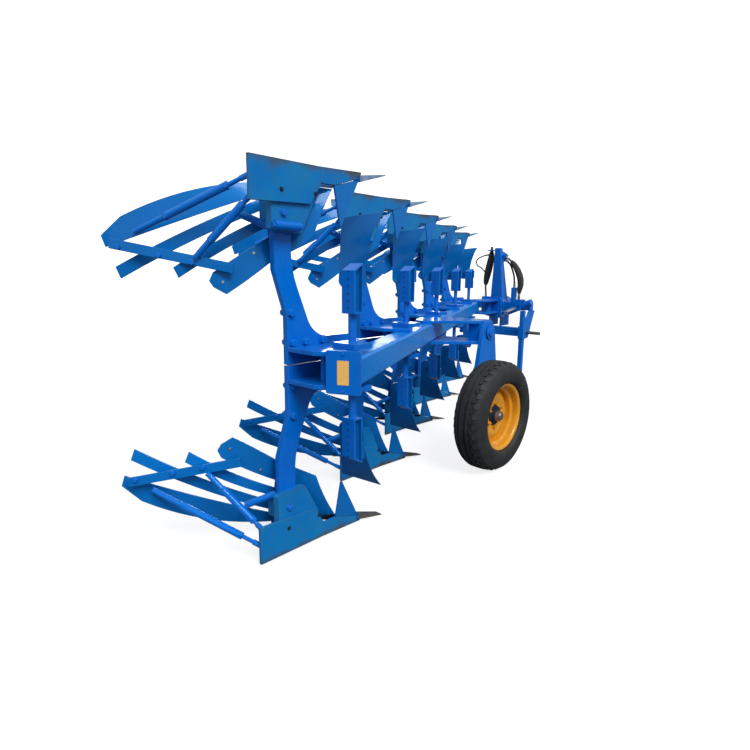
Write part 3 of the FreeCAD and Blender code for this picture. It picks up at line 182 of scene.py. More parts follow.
def height_of(tree, vector):
    return add(tree, "SeparateXYZ", {0: vector}).outputs["Z"]


def noise(tree, scale, detail, roughness=0.5, distortion=0.0):
    """Cloudy noise that stays with the object."""
    links = {"Vector": own_place(tree), "Scale": scale, "Detail": detail, "Roughness": roughness,
             "Distortion": distortion}
    return add(tree, "TexNoise", links).outputs["Fac"]


def rgba(colour):
    """A colour with its alpha, or a socket as it is."""
    return colour if isinstance(colour, bpy.types.NodeSocket) else (*colour, 1.0)


def mixed(tree, share, low, high):
    """Blend two colours by a mask."""
    return add(tree, "Mix", {0: share, 6: rgba(low), 7: rgba(high)}, data_type="RGBA").outputs[2]


def times(colour, share):
    """A colour made darker or lighter by a factor."""
    return [part * share for part in colour]


# ------ shared masks
def new_group(name, output, *inputs):
    """A shader node group with number inputs, which each material sets, and one output."""
    group = bpy.data.node_groups.new(name, "ShaderNodeTree")
    for label in inputs:
        group.interface.new_socket(label, in_out="INPUT", socket_type="NodeSocketFloat")
    group.interface.new_socket(output, in_out="OUTPUT", socket_type="NodeSocketFloat")
    start, end = group.nodes.new("NodeGroupInput"), group.nodes.new("NodeGroupOutput")
    return group, start.outputs, end.inputs[output]


def worn_edge_group():
    """A mask of the sharp edges, broken up by noise."""
    group, given, mask = new_group("worn_edges", "Mask", "Radius", "Breakup", "Amount")
    soft = add(group, "Bevel", {"Radius": given["Radius"]}, samples=6)
    plain = add(group, "NewGeometry")
    same = add(group, "VectorMath", {0: soft.outputs[0], 1: plain.outputs["Normal"]},
               operation="DOT_PRODUCT")
    edge = ranged(group, same.outputs["Value"], 0.99, 0.86)
    limit = maths(group, "SUBTRACT", 0.78, given["Amount"])
    over = maths(group, "SUBTRACT", noise(group, given["Breakup"], 6.0, 0.65), limit)
    chips = maths(group, "MULTIPLY", over, 9.0, clamp=True)
    group.links.new(maths(group, "MULTIPLY", edge, chips, clamp=True), mask)
    return group


def dust_group():
    """A mask of dust that lies on upward faces and in patches."""
    group, given, mask = new_group("dust", "Mask", "Scale", "Lying", "Amount")
    patch = ranged(group, noise(group, given["Scale"], 8.0, 0.6, 0.4), 0.38, 0.75)
    facing = height_of(group, add(group, "NewGeometry").outputs["Normal"])
    lying = maths(group, "MULTIPLY", maths(group, "MAXIMUM", facing, 0.0), given["Lying"])
    total = maths(group, "ADD", patch, lying)
    group.links.new(maths(group, "MULTIPLY", total, given["Amount"], clamp=True), mask)
    return group


def mottle_group():
    """Soft cloudy variation between 0 and 1."""
    group, given, value = new_group("mottle", "Value", "Scale", "Contrast")
    centred = maths(group, "SUBTRACT", noise(group, given["Scale"], 5.0, 0.55), 0.5)
    scaled = maths(group, "MULTIPLY", centred, given["Contrast"])
    group.links.new(maths(group, "ADD", scaled, 0.5, clamp=True), value)
    return group


def peel_group():
    """Fine uneven height of a sprayed or cast surface."""
    group, given, height = new_group("peel", "Height", "Scale", "Grit")
    grains = add(group, "TexVoronoi", {"Vector": own_place(group), "Scale": given["Scale"]},
                 feature="SMOOTH_F1")
    rough = maths(group, "MULTIPLY", grains.outputs["Distance"], given["Grit"])
    group.links.new(maths(group, "ADD", noise(group, given["Scale"], 2.0), rough), height)
    return group


def ground_edge_group():
    """A mask of what runs nearest the ground, above and below the beam plane alike."""
    group, given, mask = new_group("ground_edge", "Mask", "Middle", "Reach", "Band")
    from_middle = maths(group, "SUBTRACT", height_of(group, own_place(group)), given["Middle"])
    wave = maths(group, "SUBTRACT", noise(group, 9.0, 6.0, 0.6), 0.5)
    uneven = maths(group, "ADD", maths(group, "ABSOLUTE", from_middle), maths(group, "MULTIPLY", wave, 0.11))
    over = maths(group, "SUBTRACT", uneven, given["Reach"])
    group.links.new(maths(group, "DIVIDE", over, given["Band"], clamp=True), mask)
    return group


GROUPS = {}
GROUP_MAKERS = {"worn_edges": worn_edge_group, "dust": dust_group, "mottle": mottle_group,
                "peel": peel_group, "ground_edge": ground_edge_group}


def shared(tree, name, **values):
    """The output of a shared node group placed in a material with its own values."""
    if name not in GROUPS:
        GROUPS[name] = GROUP_MAKERS[name]()
    return add(tree, "Group", values, node_tree=GROUPS[name]).outputs[0]


# ------ materials
def principled(name, **numbers):
    """A new material with one Principled shader and its numbers set."""
    made = bpy.data.materials.new(name)
    made.use_nodes = True
    shader = made.node_tree.nodes["Principled BSDF"]
    for key, value in numbers.items():
        shader.inputs[key.replace("_", " ")].default_value = value
    return made, made.node_tree, shader


def drive(tree, shader, **sockets):
    """Link sockets to a shader's inputs."""
    for key, socket in sockets.items():
        tree.links.new(socket, shader.inputs[key.replace("_", " ")])


def bumped(tree, shader, height, strength, distance):
    bump = add(tree, "Bump", {"Height": height, "Strength": strength, "Distance": distance})
    drive(tree, shader, Normal=bump.outputs["Normal"])


def grained(tree, shader, scale, grit, strength, distance):
    """Give a material the fine uneven height of a sprayed or cast surface."""
    bumped(tree, shader, shared(tree, "peel", Scale=scale, Grit=grit), strength, distance)


def dusty(scale, lying, amount, tint):
    return "dust", tint, {"Scale": scale, "Lying": lying, "Amount": amount}


def chipped(radius, breakup, amount, tint):
    return "worn_edges", tint, {"Radius": radius, "Breakup": breakup, "Amount": amount}


def surface(name, low, high, cloud, rough, grain, films=(), follows="mottle", **numbers):
    """A material of two colours in clouds, under films of dust and wear.

    The cloud has a scale and a contrast, the roughness its two ends as it follows a mask, and the
    grain a scale, a grit, a strength and a height.
    """
    made, tree, shader = principled(name, **numbers)
    masks = {"mottle": shared(tree, "mottle", Scale=cloud[0], Contrast=cloud[1])}
    colour = mixed(tree, masks["mottle"], low, high)
    for mask, tint, values in films:
        masks[mask] = shared(tree, mask, **values)
        colour = mixed(tree, masks[mask], colour, tint)
    drive(tree, shader, Base_Color=colour, Roughness=ranged(tree, masks[follows], 0.0, 1.0, *rough))
    grained(tree, shader, *grain)
    return made


def painted(name, light, deep, coat=0.35):
    """Gloss paint, a little uneven, dusty on top and chipped at the edges."""
    return surface(name, deep, light, cloud=(2.2, 2.2), rough=(0.26, 0.75), follows="dust",
                   grain=(140.0, 0.2, 0.10, 0.0006),
                   films=[dusty(7.0, 0.35, 0.12, (0.03, 0.19, 0.40)),
                          chipped(0.0035, 38.0, 0.30, (0.05, 0.14, 0.26))],
                   Coat_Weight=coat, Coat_Roughness=0.09, Specular_IOR_Level=0.3,
                   Specular_Tint=(0.02, 0.45, 1.0, 1.0))


def blue_paint():
    """Gloss blue of the frame, the legs and the headstock."""
    return painted("gloss_blue_paint", paints().blue, paints().deep_blue)


def slat_paint():
    """Blue of the slats, the breasts, the fins and the rails."""
    return painted("slat_blue_paint", paints().slat, times(paints().slat, 0.66))


def lit_beam_paint():
    """Gloss azure of the long beam, a lighter copy of the frame's gloss blue; the extra lightness is painted
    light.
    """
    return painted("beam_azure_painted_light", (0.0, 0.225, 0.72), (0.0, 0.175, 0.62), coat=0.12)


def board_paint():
    """Gloss blue of the skimmers' boards, darker than the slats; the darkness is painted shade, and the same
    paint shades the stems' recesses.
    """
    return painted("board_navy_paint", (0.0, 0.115, 0.40), (0.0, 0.085, 0.32), coat=0.2)


def share_paint():
    """Thin blue-green paint over steel that shows brown along the ground edge."""
    paint = paints()
    made, tree, shader = principled("thin_share_paint", Coat_Weight=0.12, Coat_Roughness=0.2,
                                    Specular_IOR_Level=0.3, Specular_Tint=(0.1, 0.6, 1.0, 1.0))
    cloud = shared(tree, "mottle", Scale=4.5, Contrast=2.6)
    streak = shared(tree, "mottle", Scale=17.0, Contrast=3.0)
    edge = shared(tree, "worn_edges", Radius=0.006, Breakup=28.0, Amount=0.42)
    ground = shared(tree, "ground_edge", Middle=BEAM_Z, Reach=BEAM_ABOVE - 0.040, Band=0.045)
    worn = maths(tree, "MAXIMUM", edge, ground)
    green = mixed(tree, cloud, paint.teal, (0.0, 0.14, 0.46))
    green = mixed(tree, maths(tree, "MULTIPLY", streak, 0.30), green, (0.03, 0.14, 0.24))
    bare = mixed(tree, streak, paint.brown, (0.07, 0.085, 0.05))
    drive(tree, shader, Base_Color=mixed(tree, worn, green, bare),
          Roughness=ranged(tree, worn, 0.0, 1.0, 0.38, 0.58), Metallic=maths(tree, "MULTIPLY", worn, 0.55))
    grained(tree, shader, 90.0, 0.6, 0.16, 0.0008)
    return made


def dull_steel():
    """Old bare steel with a brown film."""
    return surface("dull_steel", paints().steel, (0.27, 0.26, 0.25),
                   cloud=(16.0, 2.4), rough=(0.34, 0.56), grain=(160.0, 0.5, 0.2, 0.0006),
                   films=[dusty(24.0, 0.2, 0.6, (0.13, 0.085, 0.05))], Metallic=0.8)


def point_steel():
    """Light blue-grey steel of the upper chisel points, lighter than the dull steel of the lower twins."""
    return surface("light_upper_point_steel", (0.09, 0.20, 0.36), (0.26, 0.36, 0.48), cloud=(24.0, 2.6),
                   rough=(0.3, 0.5), grain=(120.0, 0.4, 0.15, 0.0006),
                   films=[chipped(0.004, 50.0, 0.6, (0.55, 0.6, 0.65))], Metallic=0.25)


def dark_metal_and_hole_shade():
    """Shadowed, oily dark metal of the hub and the sunk bolts; on the skimmer stems it is painted shade in
    flat discs for holes.
    """
    return surface("dark_oily_metal_and_hole_shade", (0.004, 0.009, 0.018), (0.012, 0.022, 0.040), cloud=(26.0, 2.4),
                   rough=(0.45, 0.8), grain=(180.0, 0.5, 0.15, 0.0006), Specular_IOR_Level=0.3)


def cream_paint():
    """Cream primer on the cylinder's barrel with oily brown stains."""
    return surface("stained_cream_primer", (0.95, 0.90, 0.80), (0.80, 0.72, 0.58), cloud=(14.0, 2.6),
                   rough=(0.3, 0.5), grain=(200.0, 0.2, 0.08, 0.0005),
                   films=[dusty(22.0, 0.0, 0.25, (0.14, 0.09, 0.05))], Coat_Weight=0.25, Coat_Roughness=0.2)


def zinc():
    """Bright zinc on bolts and nuts."""
    return surface("zinc_fastenings", paints().zinc, (0.34, 0.36, 0.38),
                   cloud=(60.0, 2.0), rough=(0.25, 0.45), grain=(300.0, 0.2, 0.08, 0.0004),
                   Metallic=0.9)


def chrome():
    """Polished rod with faint oily streaks."""
    return surface("polished_rod", (0.72, 0.73, 0.75), (0.60, 0.58, 0.54), cloud=(30.0, 1.8),
                   rough=(0.10, 0.22), grain=(400.0, 0.1, 0.03, 0.0003), Metallic=1.0)


def wheel_paint():
    """Orange-yellow gloss paint with road dirt."""
    yellow = paints().yellow
    return surface("orange_wheel_paint", times(yellow, 0.7), yellow, cloud=(9.0, 2.0),
                   rough=(0.30, 0.65), follows="dust", grain=(180.0, 0.3, 0.10, 0.0006),
                   films=[dusty(16.0, 0.25, 0.30, (0.36, 0.16, 0.03)),
                          chipped(0.003, 50.0, 0.28, (0.22, 0.12, 0.05))],
                   Coat_Weight=0.35, Coat_Roughness=0.15)


def label_film():
    """Blank orange-yellow label."""
    return surface("blank_label_film", paints().label, (0.80, 0.42, 0.09),
                   cloud=(45.0, 1.8), rough=(0.38, 0.5), grain=(260.0, 0.1, 0.05, 0.0003),
                   Coat_Weight=0.2)


def rubber(name, colour, dust_amount, scale):
    """Black rubber with a dusty film and a fine moulded grain."""
    return surface(name, colour, times(colour, 1.9), cloud=(scale, 2.0), rough=(0.55, 0.75),
                   grain=(260.0, 0.6, 0.25, 0.0008),
                   films=[dusty(scale * 2.0, 0.5, dust_amount, (0.08, 0.078, 0.072))],
                   Specular_IOR_Level=0.4)


def tyre_rubber():
    """Dusty rubber of the tyre."""
    return rubber("dusty_tyre_rubber", paints().rubber, 0.16, 6.0)


def hose_rubber():
    """Rubber of the hoses."""
    return rubber("hose_rubber", paints().hose, 0.12, 30.0)


def wrap_fabric():
    """Woven black wrap round a bundle of hoses, greyed on top."""
    made, tree, shader = principled("woven_hose_wrap", Specular_IOR_Level=0.3)
    links = {"Vector": own_place(tree), "Scale": 90.0, "Distortion": 1.5, "Detail": 2.0}
    weave = add(tree, "TexWave", links, bands_direction="DIAGONAL").outputs["Fac"]
    dust = shared(tree, "dust", Scale=14.0, Lying=0.6, Amount=0.35)
    base = mixed(tree, weave, (0.012, 0.012, 0.011), (0.038, 0.040, 0.036))
    drive(tree, shader, Base_Color=mixed(tree, dust, base, (0.06, 0.06, 0.06)),
          Roughness=ranged(tree, weave, 0.0, 1.0, 0.6, 0.85))
    bumped(tree, shader, weave, 0.35, 0.001)
    return made


def floor_material():
    """A pale matt floor that throws little light back up."""
    floor = bpy.context.scene.plough_stage.floor_colour
    made, tree, shader = principled("pale_floor", Specular_IOR_Level=0.0)
    cloud = shared(tree, "mottle", Scale=0.6, Contrast=1.0)
    low = times(floor, 0.99)
    seen = add(tree, "LightPath").outputs["Is Camera Ray"]
    dim = mixed(tree, cloud, times(low, 0.25), times(low, 0.27))
    drive(tree, shader, Base_Color=mixed(tree, seen, (0.16, 0.17, 0.18), dim),
          Emission_Color=mixed(tree, cloud, low, floor),
          Emission_Strength=ranged(tree, seen, 0.0, 1.0, 0.0, 0.84),
          Roughness=ranged(tree, cloud, 0.0, 1.0, 0.85, 0.95))
    return made


# Each finish with the function that makes it and the material slot that it stands for.
FINISH_MAKERS = {
    "blue": (blue_paint, "blue_paint"), "beam": (lit_beam_paint, "blue_paint"),
    "cream": (cream_paint, "blue_paint"), "board": (board_paint, "worn_share_steel"),
    "slat": (slat_paint, "worn_share_steel"), "share": (share_paint, "worn_share_steel"),
    "point": (point_steel, "worn_share_steel"), "steel": (dull_steel, "plain_steel"),
    "zinc": (zinc, "plain_steel"), "dark": (dark_metal_and_hole_shade, "plain_steel"),
    "chrome": (chrome, "rod_chrome"), "wheel": (wheel_paint, "yellow_paint"),
    "label": (label_film, "yellow_label"), "tyre": (tyre_rubber, "tyre"),
    "hose": (hose_rubber, "hose_rubber"), "wrap": (wrap_fabric, "hose_rubber"),
    "floor": (floor_material, None),
}
FINISHES = {}


def finish(name):
    """The finished material of that name, made once."""
    if name not in FINISHES:
        FINISHES[name] = FINISH_MAKERS[name][0]()
    return FINISHES[name]


# ------ mesh tools
def placed(name, data):
    """A new object in the scene."""
    made = bpy.data.objects.new(name, data)
    bpy.context.scene.collection.objects.link(made)
    return made


def piece(name, bm, paint, body, smooth=32.0, stands_for=(), outward=True):
    """Turn a finished bmesh into a piece that rides on a body."""
    if outward:
        bmesh.ops.recalc_face_normals(bm, faces=bm.faces)
    mesh = bpy.data.meshes.new(name)
    bm.to_mesh(mesh)
    bm.free()
    for face in mesh.polygons:
        face.use_smooth = True
    mesh.set_sharp_from_angle(angle=math.radians(smooth))
    mesh.materials.append(finish(paint))
    made = placed(name, mesh)
    weighted = made.modifiers.new("even_shading", "WEIGHTED_NORMAL")
    weighted.keep_sharp = True
    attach(made, body)
    if stands_for:
        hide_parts(*stands_for)
    return made


def merged(node):
    """A clean copy of a CAD node's surface with its flat faces whole."""
    bm = bmesh.new()
    bm.from_mesh(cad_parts[node].data)
    bmesh.ops.remove_doubles(bm, verts=bm.verts, dist=2e-5)
    bmesh.ops.dissolve_limit(bm, angle_limit=math.radians(0.6), verts=bm.verts, edges=bm.edges)
    return bm


# The recesses in the skimmer stems' holders: the least face that has one, its wall and its depth.
RECESS_LEAST, RECESS_WALL, RECESS_DEPTH = 0.006, 0.011, 0.018
SHARP_EDGE = math.radians(28.0)


def hollowed(bm):
    """Sink a recess into every large flat face that looks to the right, and give its faces the second
    finish, the darker blue of painted shade.
    """
    bm.normal_update()
    large = [f for f in bm.faces if f.normal.x > 0.7 and f.calc_area() > RECESS_LEAST]
    bmesh.ops.inset_individual(bm, faces=large, thickness=RECESS_WALL, depth=0.0)
    walls = bmesh.ops.inset_individual(bm, faces=large, thickness=0.001, depth=-RECESS_DEPTH)["faces"]
    for face in [*large, *walls]:
        face.material_index = 1


def softened(node, paint, body, edge):
    """Stand a copy with rounded edges in for a CAD node."""
    bm = merged(node)
    if node.startswith("skimmer_stems"):
        hollowed(bm)
    sharp = [e for e in bm.edges if e.is_manifold and e.calc_face_angle() > SHARP_EDGE]
    if edge > 0 and sharp:
        bmesh.ops.bevel(bm, geom=sharp, offset=edge, offset_type="OFFSET", segments=2, profile=0.5,
                        affect="EDGES", clamp_overlap=True, material=-1)
    return piece("rounded_" + node, bm, paint, body, stands_for=(node,), outward=False)


def second_finish(made, paint, chosen=None):
    """Add a second finish, for the faces whose middles a test picks."""
    made.data.materials.append(finish(paint))
    if chosen:
        for face in made.data.polygons:
            face.material_index = int(chosen(face.center))


def islands(node):
    """The points of each separate solid of a CAD node, in the same order each run."""
    bm = merged(node)
    left, found = dict.fromkeys(bm.verts), []
    while left:
        front, seen = [left.popitem()[0]], []
        while front:
            vert = front.pop()
            seen.append(vert.co.copy())
            for edge in vert.link_edges:
                other = edge.other_vert(vert)
                if other in left:
                    del left[other]
                    front.append(other)
        found.append(seen)
    bm.free()
    return found


def ends_of(points):
    """The middles of the two end faces of a long round solid."""
    first = points[0]
    far = max(points, key=lambda p: (p - first).length)
    near = max(points, key=lambda p: (p - far).length)
    run = (far - near).normalized()
    ends = []
    for pick in (min, max):
        limit = pick(p.dot(run) for p in points)
        rim = [p for p in points if abs(p.dot(run) - limit) < 0.02]
        ends.append(sum(rim, Vector()) / len(rim))
    return ends


def along(start, direction):
    """A matrix whose Z axis points along a direction, at a place."""
    turn = direction.to_track_quat("Z", "Y").to_matrix().to_4x4()
    return Matrix.Translation(start) @ turn


def disc(bm, place, low, high, radius, sides, top=None):
    """A closed round or many-sided slice between two heights of a placed axis."""
    bmesh.ops.create_cone(bm, cap_ends=True, segments=sides, radius1=radius,
                          radius2=radius if top is None else top, depth=high - low,
                          matrix=place @ Matrix.Translation((0, 0, (low + high) / 2)))


def bolt(bm, place, axis, across=None, head=None):
    """A hexagon head on its washer; the axis points out of the surface."""
    across = across or sizes().bolt_across
    head = head or sizes().bolt_head
    seat = along(place, axis)
    disc(bm, seat, -0.002, 0.003, across * 0.66, 14)
    disc(bm, seat, 0.003, head * 0.86, across * 0.577, 6)
    disc(bm, seat, head * 0.86, head, across * 0.577, 6, top=across * 0.48)


def nut(bm, place, axis, across):
    """A nut on its washer with the bolt's end standing through it."""
    seat = along(place, axis)
    disc(bm, seat, -0.002, 0.003, across * 0.66, 14)
    disc(bm, seat, 0.003, across * 0.75, across * 0.577, 6)
    disc(bm, seat, across * 0.7, across * 1.15, across * 0.3, 10, top=across * 0.26)


def at(station, forward, left, up, turned=False):
    """A point of a station's lower body, or of its upper twin when turned over."""
    spot = TIP + Vector((-FURROW * station - left, PITCH * station + forward, up))
    if turned:
        spot.z = 2 * BEAM_Z - spot.z
    return spot


def flipped(direction, turned):
    return Vector((direction[0], direction[1], -direction[2] if turned else direction[2]))


# ------ stage
SENSOR_WIDTH = 36.0
FLOOR_HALF, FLOOR_DROP = 60.0, 0.0005
# Each light with the way to it and how wide it looks, in degrees.
LIGHTS = [("key_light", (0.85, -0.30, 0.85), 28.0), ("fill_light", (0.10, -0.90, 0.50), 70.0),
          ("back_light", (-0.66, 0.74, 0.12), 13.0)]
LIGHT_HEIGHT = 6


class PLOUGH_OT_stage(bpy.types.Operator):
    """Set the camera, the floor and the soft lights"""

    bl_idname = "plough.stage"
    bl_label = "Stage"

    def execute(self, context):
        stage = context.scene.plough_stage
        lens = bpy.data.cameras.new("view")
        lens.lens = stage.lens
        lens.sensor_width = SENSOR_WIDTH
        camera = placed("view", lens)
        camera.matrix_world = (Matrix.Translation(stage.place) @ Matrix.Rotation(stage.heading, 4, "Z")
                               @ Matrix.Rotation(math.radians(90) - stage.pitch, 4, "X")
                               @ Matrix.Rotation(stage.roll, 4, "Z"))
        context.scene.camera = camera
        context.scene.view_settings.view_transform = "Standard"

        bm = bmesh.new()
        bmesh.ops.create_grid(bm, x_segments=1, y_segments=1, size=FLOOR_HALF,
                              matrix=Matrix.Translation((0, 0, TIP.z - FLOOR_DROP)))
        mesh = bpy.data.meshes.new("floor")
        bm.to_mesh(mesh)
        bm.free()
        mesh.materials.append(finish("floor"))
        floor = placed("floor", mesh)

        self.make_sky(context, stage)
        strengths = (stage.key_strength, stage.fill_strength, stage.back_strength)
        for (name, towards, width), strength in zip(LIGHTS, strengths):
            light = bpy.data.lights.new(name, "SUN")
            light.angle = math.radians(width)
            light.energy = strength
            lamp = placed(name, light)
            lamp.matrix_world = along(Vector((0, 0, LIGHT_HEIGHT)), Vector(towards))
        return {"FINISHED"}

    def make_sky(self, context, stage):
        """A white backdrop whose light comes mostly from above."""
        world = bpy.data.worlds.new("soft_sky")
        world.use_nodes = True
        tree = world.node_tree
        sky = tree.nodes["Background"]
        place = add(tree, "TexCoord")
        rise = ranged(tree, height_of(tree, place.outputs["Generated"]), -0.03, 0.10)
        shaded = mixed(tree, rise, times(stage.sky_colour, 0.08), stage.sky_colour)
        white = [1.3 / stage.sky_strength] * 3
        seen = add(tree, "LightPath").outputs["Is Camera Ray"]
        tree.links.new(mixed(tree, seen, shaded, white), sky.inputs["Color"])
        sky.inputs["Strength"].default_value = stage.sky_strength
        context.scene.world = world


# ------ hoses
# Each hose's points from its upper coupling to its lower one, its radius and its stiffness.
HOSES = {
    "hose_left": ([(-0.142, 0.131, 0.960), (-0.142, 0.131, 0.895), (-0.164, 0.135, 0.790),
                   (-0.203, 0.136, 0.622), (-0.205, 0.124, 0.522), (-0.184, 0.105, 0.450),
                   (-0.184, 0.105, 0.392)], 0.011, "medium"),
    "hose_loop": ([(-0.187, 0.131, 0.914), (-0.243, 0.131, 0.906), (-0.300, 0.131, 0.885),
                   (-0.345, 0.131, 0.864), (-0.361, 0.131, 0.821), (-0.341, 0.131, 0.779),
                   (-0.294, 0.131, 0.762), (-0.256, 0.132, 0.732), (-0.230, 0.134, 0.704)],
                  0.008, "limp"),
    "hose_right_outer": ([(0.069, 0.112, 0.88487), (0.1419, 0.112, 0.84257), (0.217, 0.112, 0.757),
                          (0.272, 0.110, 0.655), (0.290, 0.108, 0.565), (0.274, 0.105, 0.482),
                          (0.274, 0.105, 0.420)], 0.011, "medium"),
    "hose_right_inner": ([(0.050, 0.130, 0.85212), (0.119, 0.130, 0.81208), (0.162, 0.120, 0.728),
                          (0.206, 0.105, 0.625), (0.206, 0.105, 0.520)], 0.011, "medium"),
}
# Each wrap's hose, its radius and the shares of the hose's length between which it lies.
WRAPS = {"wrap_left": ("hose_left", 0.046, 0.0, 0.74),
         "wrap_right": ("hose_right_outer", 0.040, 0.16, 0.96)}


def hose_curve(name, points):
    """A smooth line drawn by its control points."""
    curve = bpy.data.curves.new(name, "CURVE")
    curve.dimensions = "3D"
    curve.resolution_u = 14
    spline = curve.splines.new("NURBS")
    spline.points.add(len(points) - 1)
    for control, point in zip(spline.points, points):
        control.co = (*point, 1.0)
    spline.order_u = 3
    spline.use_endpoint_u = True
    return placed(name, curve)


def points_along(hose, step):
    """Even points read from a hose's line."""
    line = bpy.data.meshes.new_from_object(hose)
    spots = [v.co.copy() for v in line.vertices]
    bpy.data.meshes.remove(line)
    total = sum((b - a).length for a, b in zip(spots, spots[1:]))
    wanted, run, even = 0.0, 0.0, []
    for a, b in zip(spots, spots[1:]):
        reach = (b - a).length
        while wanted <= run + reach:
            even.append(a.lerp(b, (wanted - run) / reach))
            wanted += step
        run += reach
    return even, total


def sleeve(bm, spots, radii, sides=22):
    """A closed tube whose rings stand square to a line."""
    before = None
    for index, (spot, radius) in enumerate(zip(spots, radii)):
        ahead = spots[min(index + 1, len(spots) - 1)] - spots[max(index - 1, 0)]
        made = bmesh.ops.create_circle(bm, cap_ends=index in (0, len(spots) - 1), segments=sides,
                                       radius=radius, matrix=along(spot, ahead))
        rim = list({edge for vert in made["verts"] for edge in vert.link_edges})
        if before:
            bmesh.ops.bridge_loops(bm, edges=before + rim)
        before = rim


def wrapped(name, thick, spots):
    """A wrap round a stretch of hose, full in its middle, drawn in at its ends and a little uneven."""
    bellies = [math.sin(math.pi * (i + 1) / (len(spots) + 1)) ** 0.28 for i in range(len(spots))]
    radii = [thick * belly * (0.97 + 0.03 * math.sin(i * 1.7)) for i, belly in enumerate(bellies)]
    bm = bmesh.new()
    sleeve(bm, spots, radii)
    return piece(name, bm, "wrap", HEAD_BODY, smooth=60)


def fittings(name, ends, radius):
    """A hexagon and a ferrule with its collar at each end of a hose."""
    bm = bmesh.new()
    for end, towards in ends:
        seat = along(end, towards - end)
        disc(bm, seat, 0.0, 0.012, radius * 1.5, 6)
        disc(bm, seat, 0.012, 0.044, radius * 1.28, 18)
        disc(bm, seat, 0.041, 0.047, radius * 1.36, 18)
    return piece("fittings_" + name, bm, "zinc", HEAD_BODY)


class PLOUGH_OT_hoses(bpy.types.Operator):
    """Hang the hoses at the mast with their wraps and end fittings"""

    bl_idname = "plough.hoses"
    bl_label = "Hoses"

    def execute(self, context):
        for name, (points, radius, stiffness) in HOSES.items():
            hose = hose_curve("curved_" + name, points)
            spots, length = points_along(hose, 0.004)
            extras = [wrapped(wrap, thick, spots[round(first * len(spots)):round(last * len(spots))])
                      for wrap, (owner, thick, first, last) in WRAPS.items() if owner == name]
            ends = ((spots[0], spots[6]), (Vector(points[-1]), spots[-8]))
            extras.append(fittings(name, ends, radius))
            hose.data.bevel_depth = radius
            hose.data.bevel_resolution = 6
            hose.data.use_fill_caps = True
            hose.data.materials.append(finish("hose"))
            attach(hose, HEAD_BODY)
            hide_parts(name)
        return {"FINISHED"}


# ------ plates, legs and beam
# The nodes that ride on each body, with their finish and the rounding of their edges. A name that
# ends in an underscore stands for the lower node and the upper one.
PLATES = {
    FRAME_BODY: [
        ("main_beam", "beam", 0.0), ("beam_end_plate", "blue", 0.002), ("blank_label", "label", 0.0003),
        ("console_plates", "blue", 0.0025), ("console_spacers", "blue", 0.0015), ("legs_", "blue", 0.003),
        ("frogs_", "share", 0.002), ("landsides_", "share", 0.002), ("points_", "share", 0.0015),
        ("fins_", "slat", 0.0015), ("slats_", "slat", 0.0015), ("breasts_", "slat", 0.0015),
        ("shares_", "share", 0.0015), ("rails_", "slat", 0.0015), ("skimmer_stems_", "blue", 0.0015),
        ("skimmer_boards_", "board", 0.0012), ("wheel_console", "blue", 0.0025),
        ("wheel_pivot", "blue", 0.003), ("turning_head", "blue", 0.0025), ("head_plates", "blue", 0.0025),
        ("shaft_collar", "steel", 0.001)],
    HEAD_BODY: [
        ("headstock_crossbeam", "blue", 0.006), ("headstock_cheeks", "blue", 0.0025),
        ("hitch_pins", "steel", 0.003), ("turnover_housing", "blue", 0.002),
        ("headstock_upper_tubes", "blue", 0.004), ("headstock_webs", "blue", 0.002),
        ("mast", "blue", 0.006), ("top_link_ears", "blue", 0.0015), ("valve_block", "blue", 0.003),
        ("coupling_bosses", "steel", 0.0015), ("coupling_holder", "blue", 0.002),
        ("cylinder_bracket", "blue", 0.0015), ("stand_sleeve", "blue", 0.0015)],
    "wheel_arm": [("wheel_arm", "blue", 0.0025), ("stub_axle", "steel", 0.001)],
    "parking_stand": [("parking_stand", "blue", 0.003)],
    "cylinder_barrel": [("cylinder_barrel", "blue", 0.001)],
    "cylinder_rod": [("cylinder_rod", "chrome", 0.0006)],
}
# Height of the dark tops of the couplings.
COUPLING_TOPS = 0.037


def is_chisel(place):
    """Whether a face of a point lies ahead of where the chisel starts."""
    return (place.y - TIP.y) / PITCH % 1.0 * PITCH - PITCH > CHISEL_START


class PLOUGH_OT_plates(bpy.types.Operator):
    """Round the edges of the plates, tubes and castings and paint them"""

    bl_idname = "plough.plates"
    bl_label = "Plates and tubes"

    def execute(self, context):
        bracket_low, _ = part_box("cylinder_bracket")
        _, holder_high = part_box("coupling_holder")
        seconds = {
            "points_lower": ("steel", is_chisel), "points_upper": ("point", is_chisel),
            # The stems' second finish is painted shade that darkens their recesses.
            "skimmer_stems_lower": ("board", None), "skimmer_stems_upper": ("board", None),
            "cylinder_barrel": ("cream", lambda place: place.x < bracket_low.x),
            "coupling_holder": ("wrap", lambda place: place.z > holder_high.z - COUPLING_TOPS),
        }
        for body, rows in PLATES.items():
            for name, paint, edge in rows:
                for node in (name + "lower", name + "upper") if name.endswith("_") else (name,):
                    made = softened(node, paint, body, edge)
                    if node in seconds:
                        second_finish(made, *seconds[node])
        return {"FINISHED"}


# ------ bolts
# Faces that the bolts stand on, to the left of the tip, and the leg's thickness.
LEG_FACE, LEG_DEPTH, FROG_FACE = 0.065, 0.030, LANDSIDE_LEFT
# The leg's bolts: how far each is ahead of the tip and below the middle of the beam.
LEG_BOLTS = [(-0.498, 0.096), (-0.425, 0.096), (-0.325, 0.096), (-0.505, 0.225), (-0.545, 0.575)]
# The landside's bolts ahead of the tip and their height, and the frog's bolt and bush likewise.
LANDSIDE_BOLTS, LANDSIDE_BOLT_HEIGHT = (-0.580, -0.402), 0.126
FROG_BOLT_AHEAD, FROG_BOLT_HEIGHT = -0.562, 0.212
BUSH_AHEAD, BUSH_HEIGHT, BUSH_LENGTH = -0.622, 0.263, 0.128
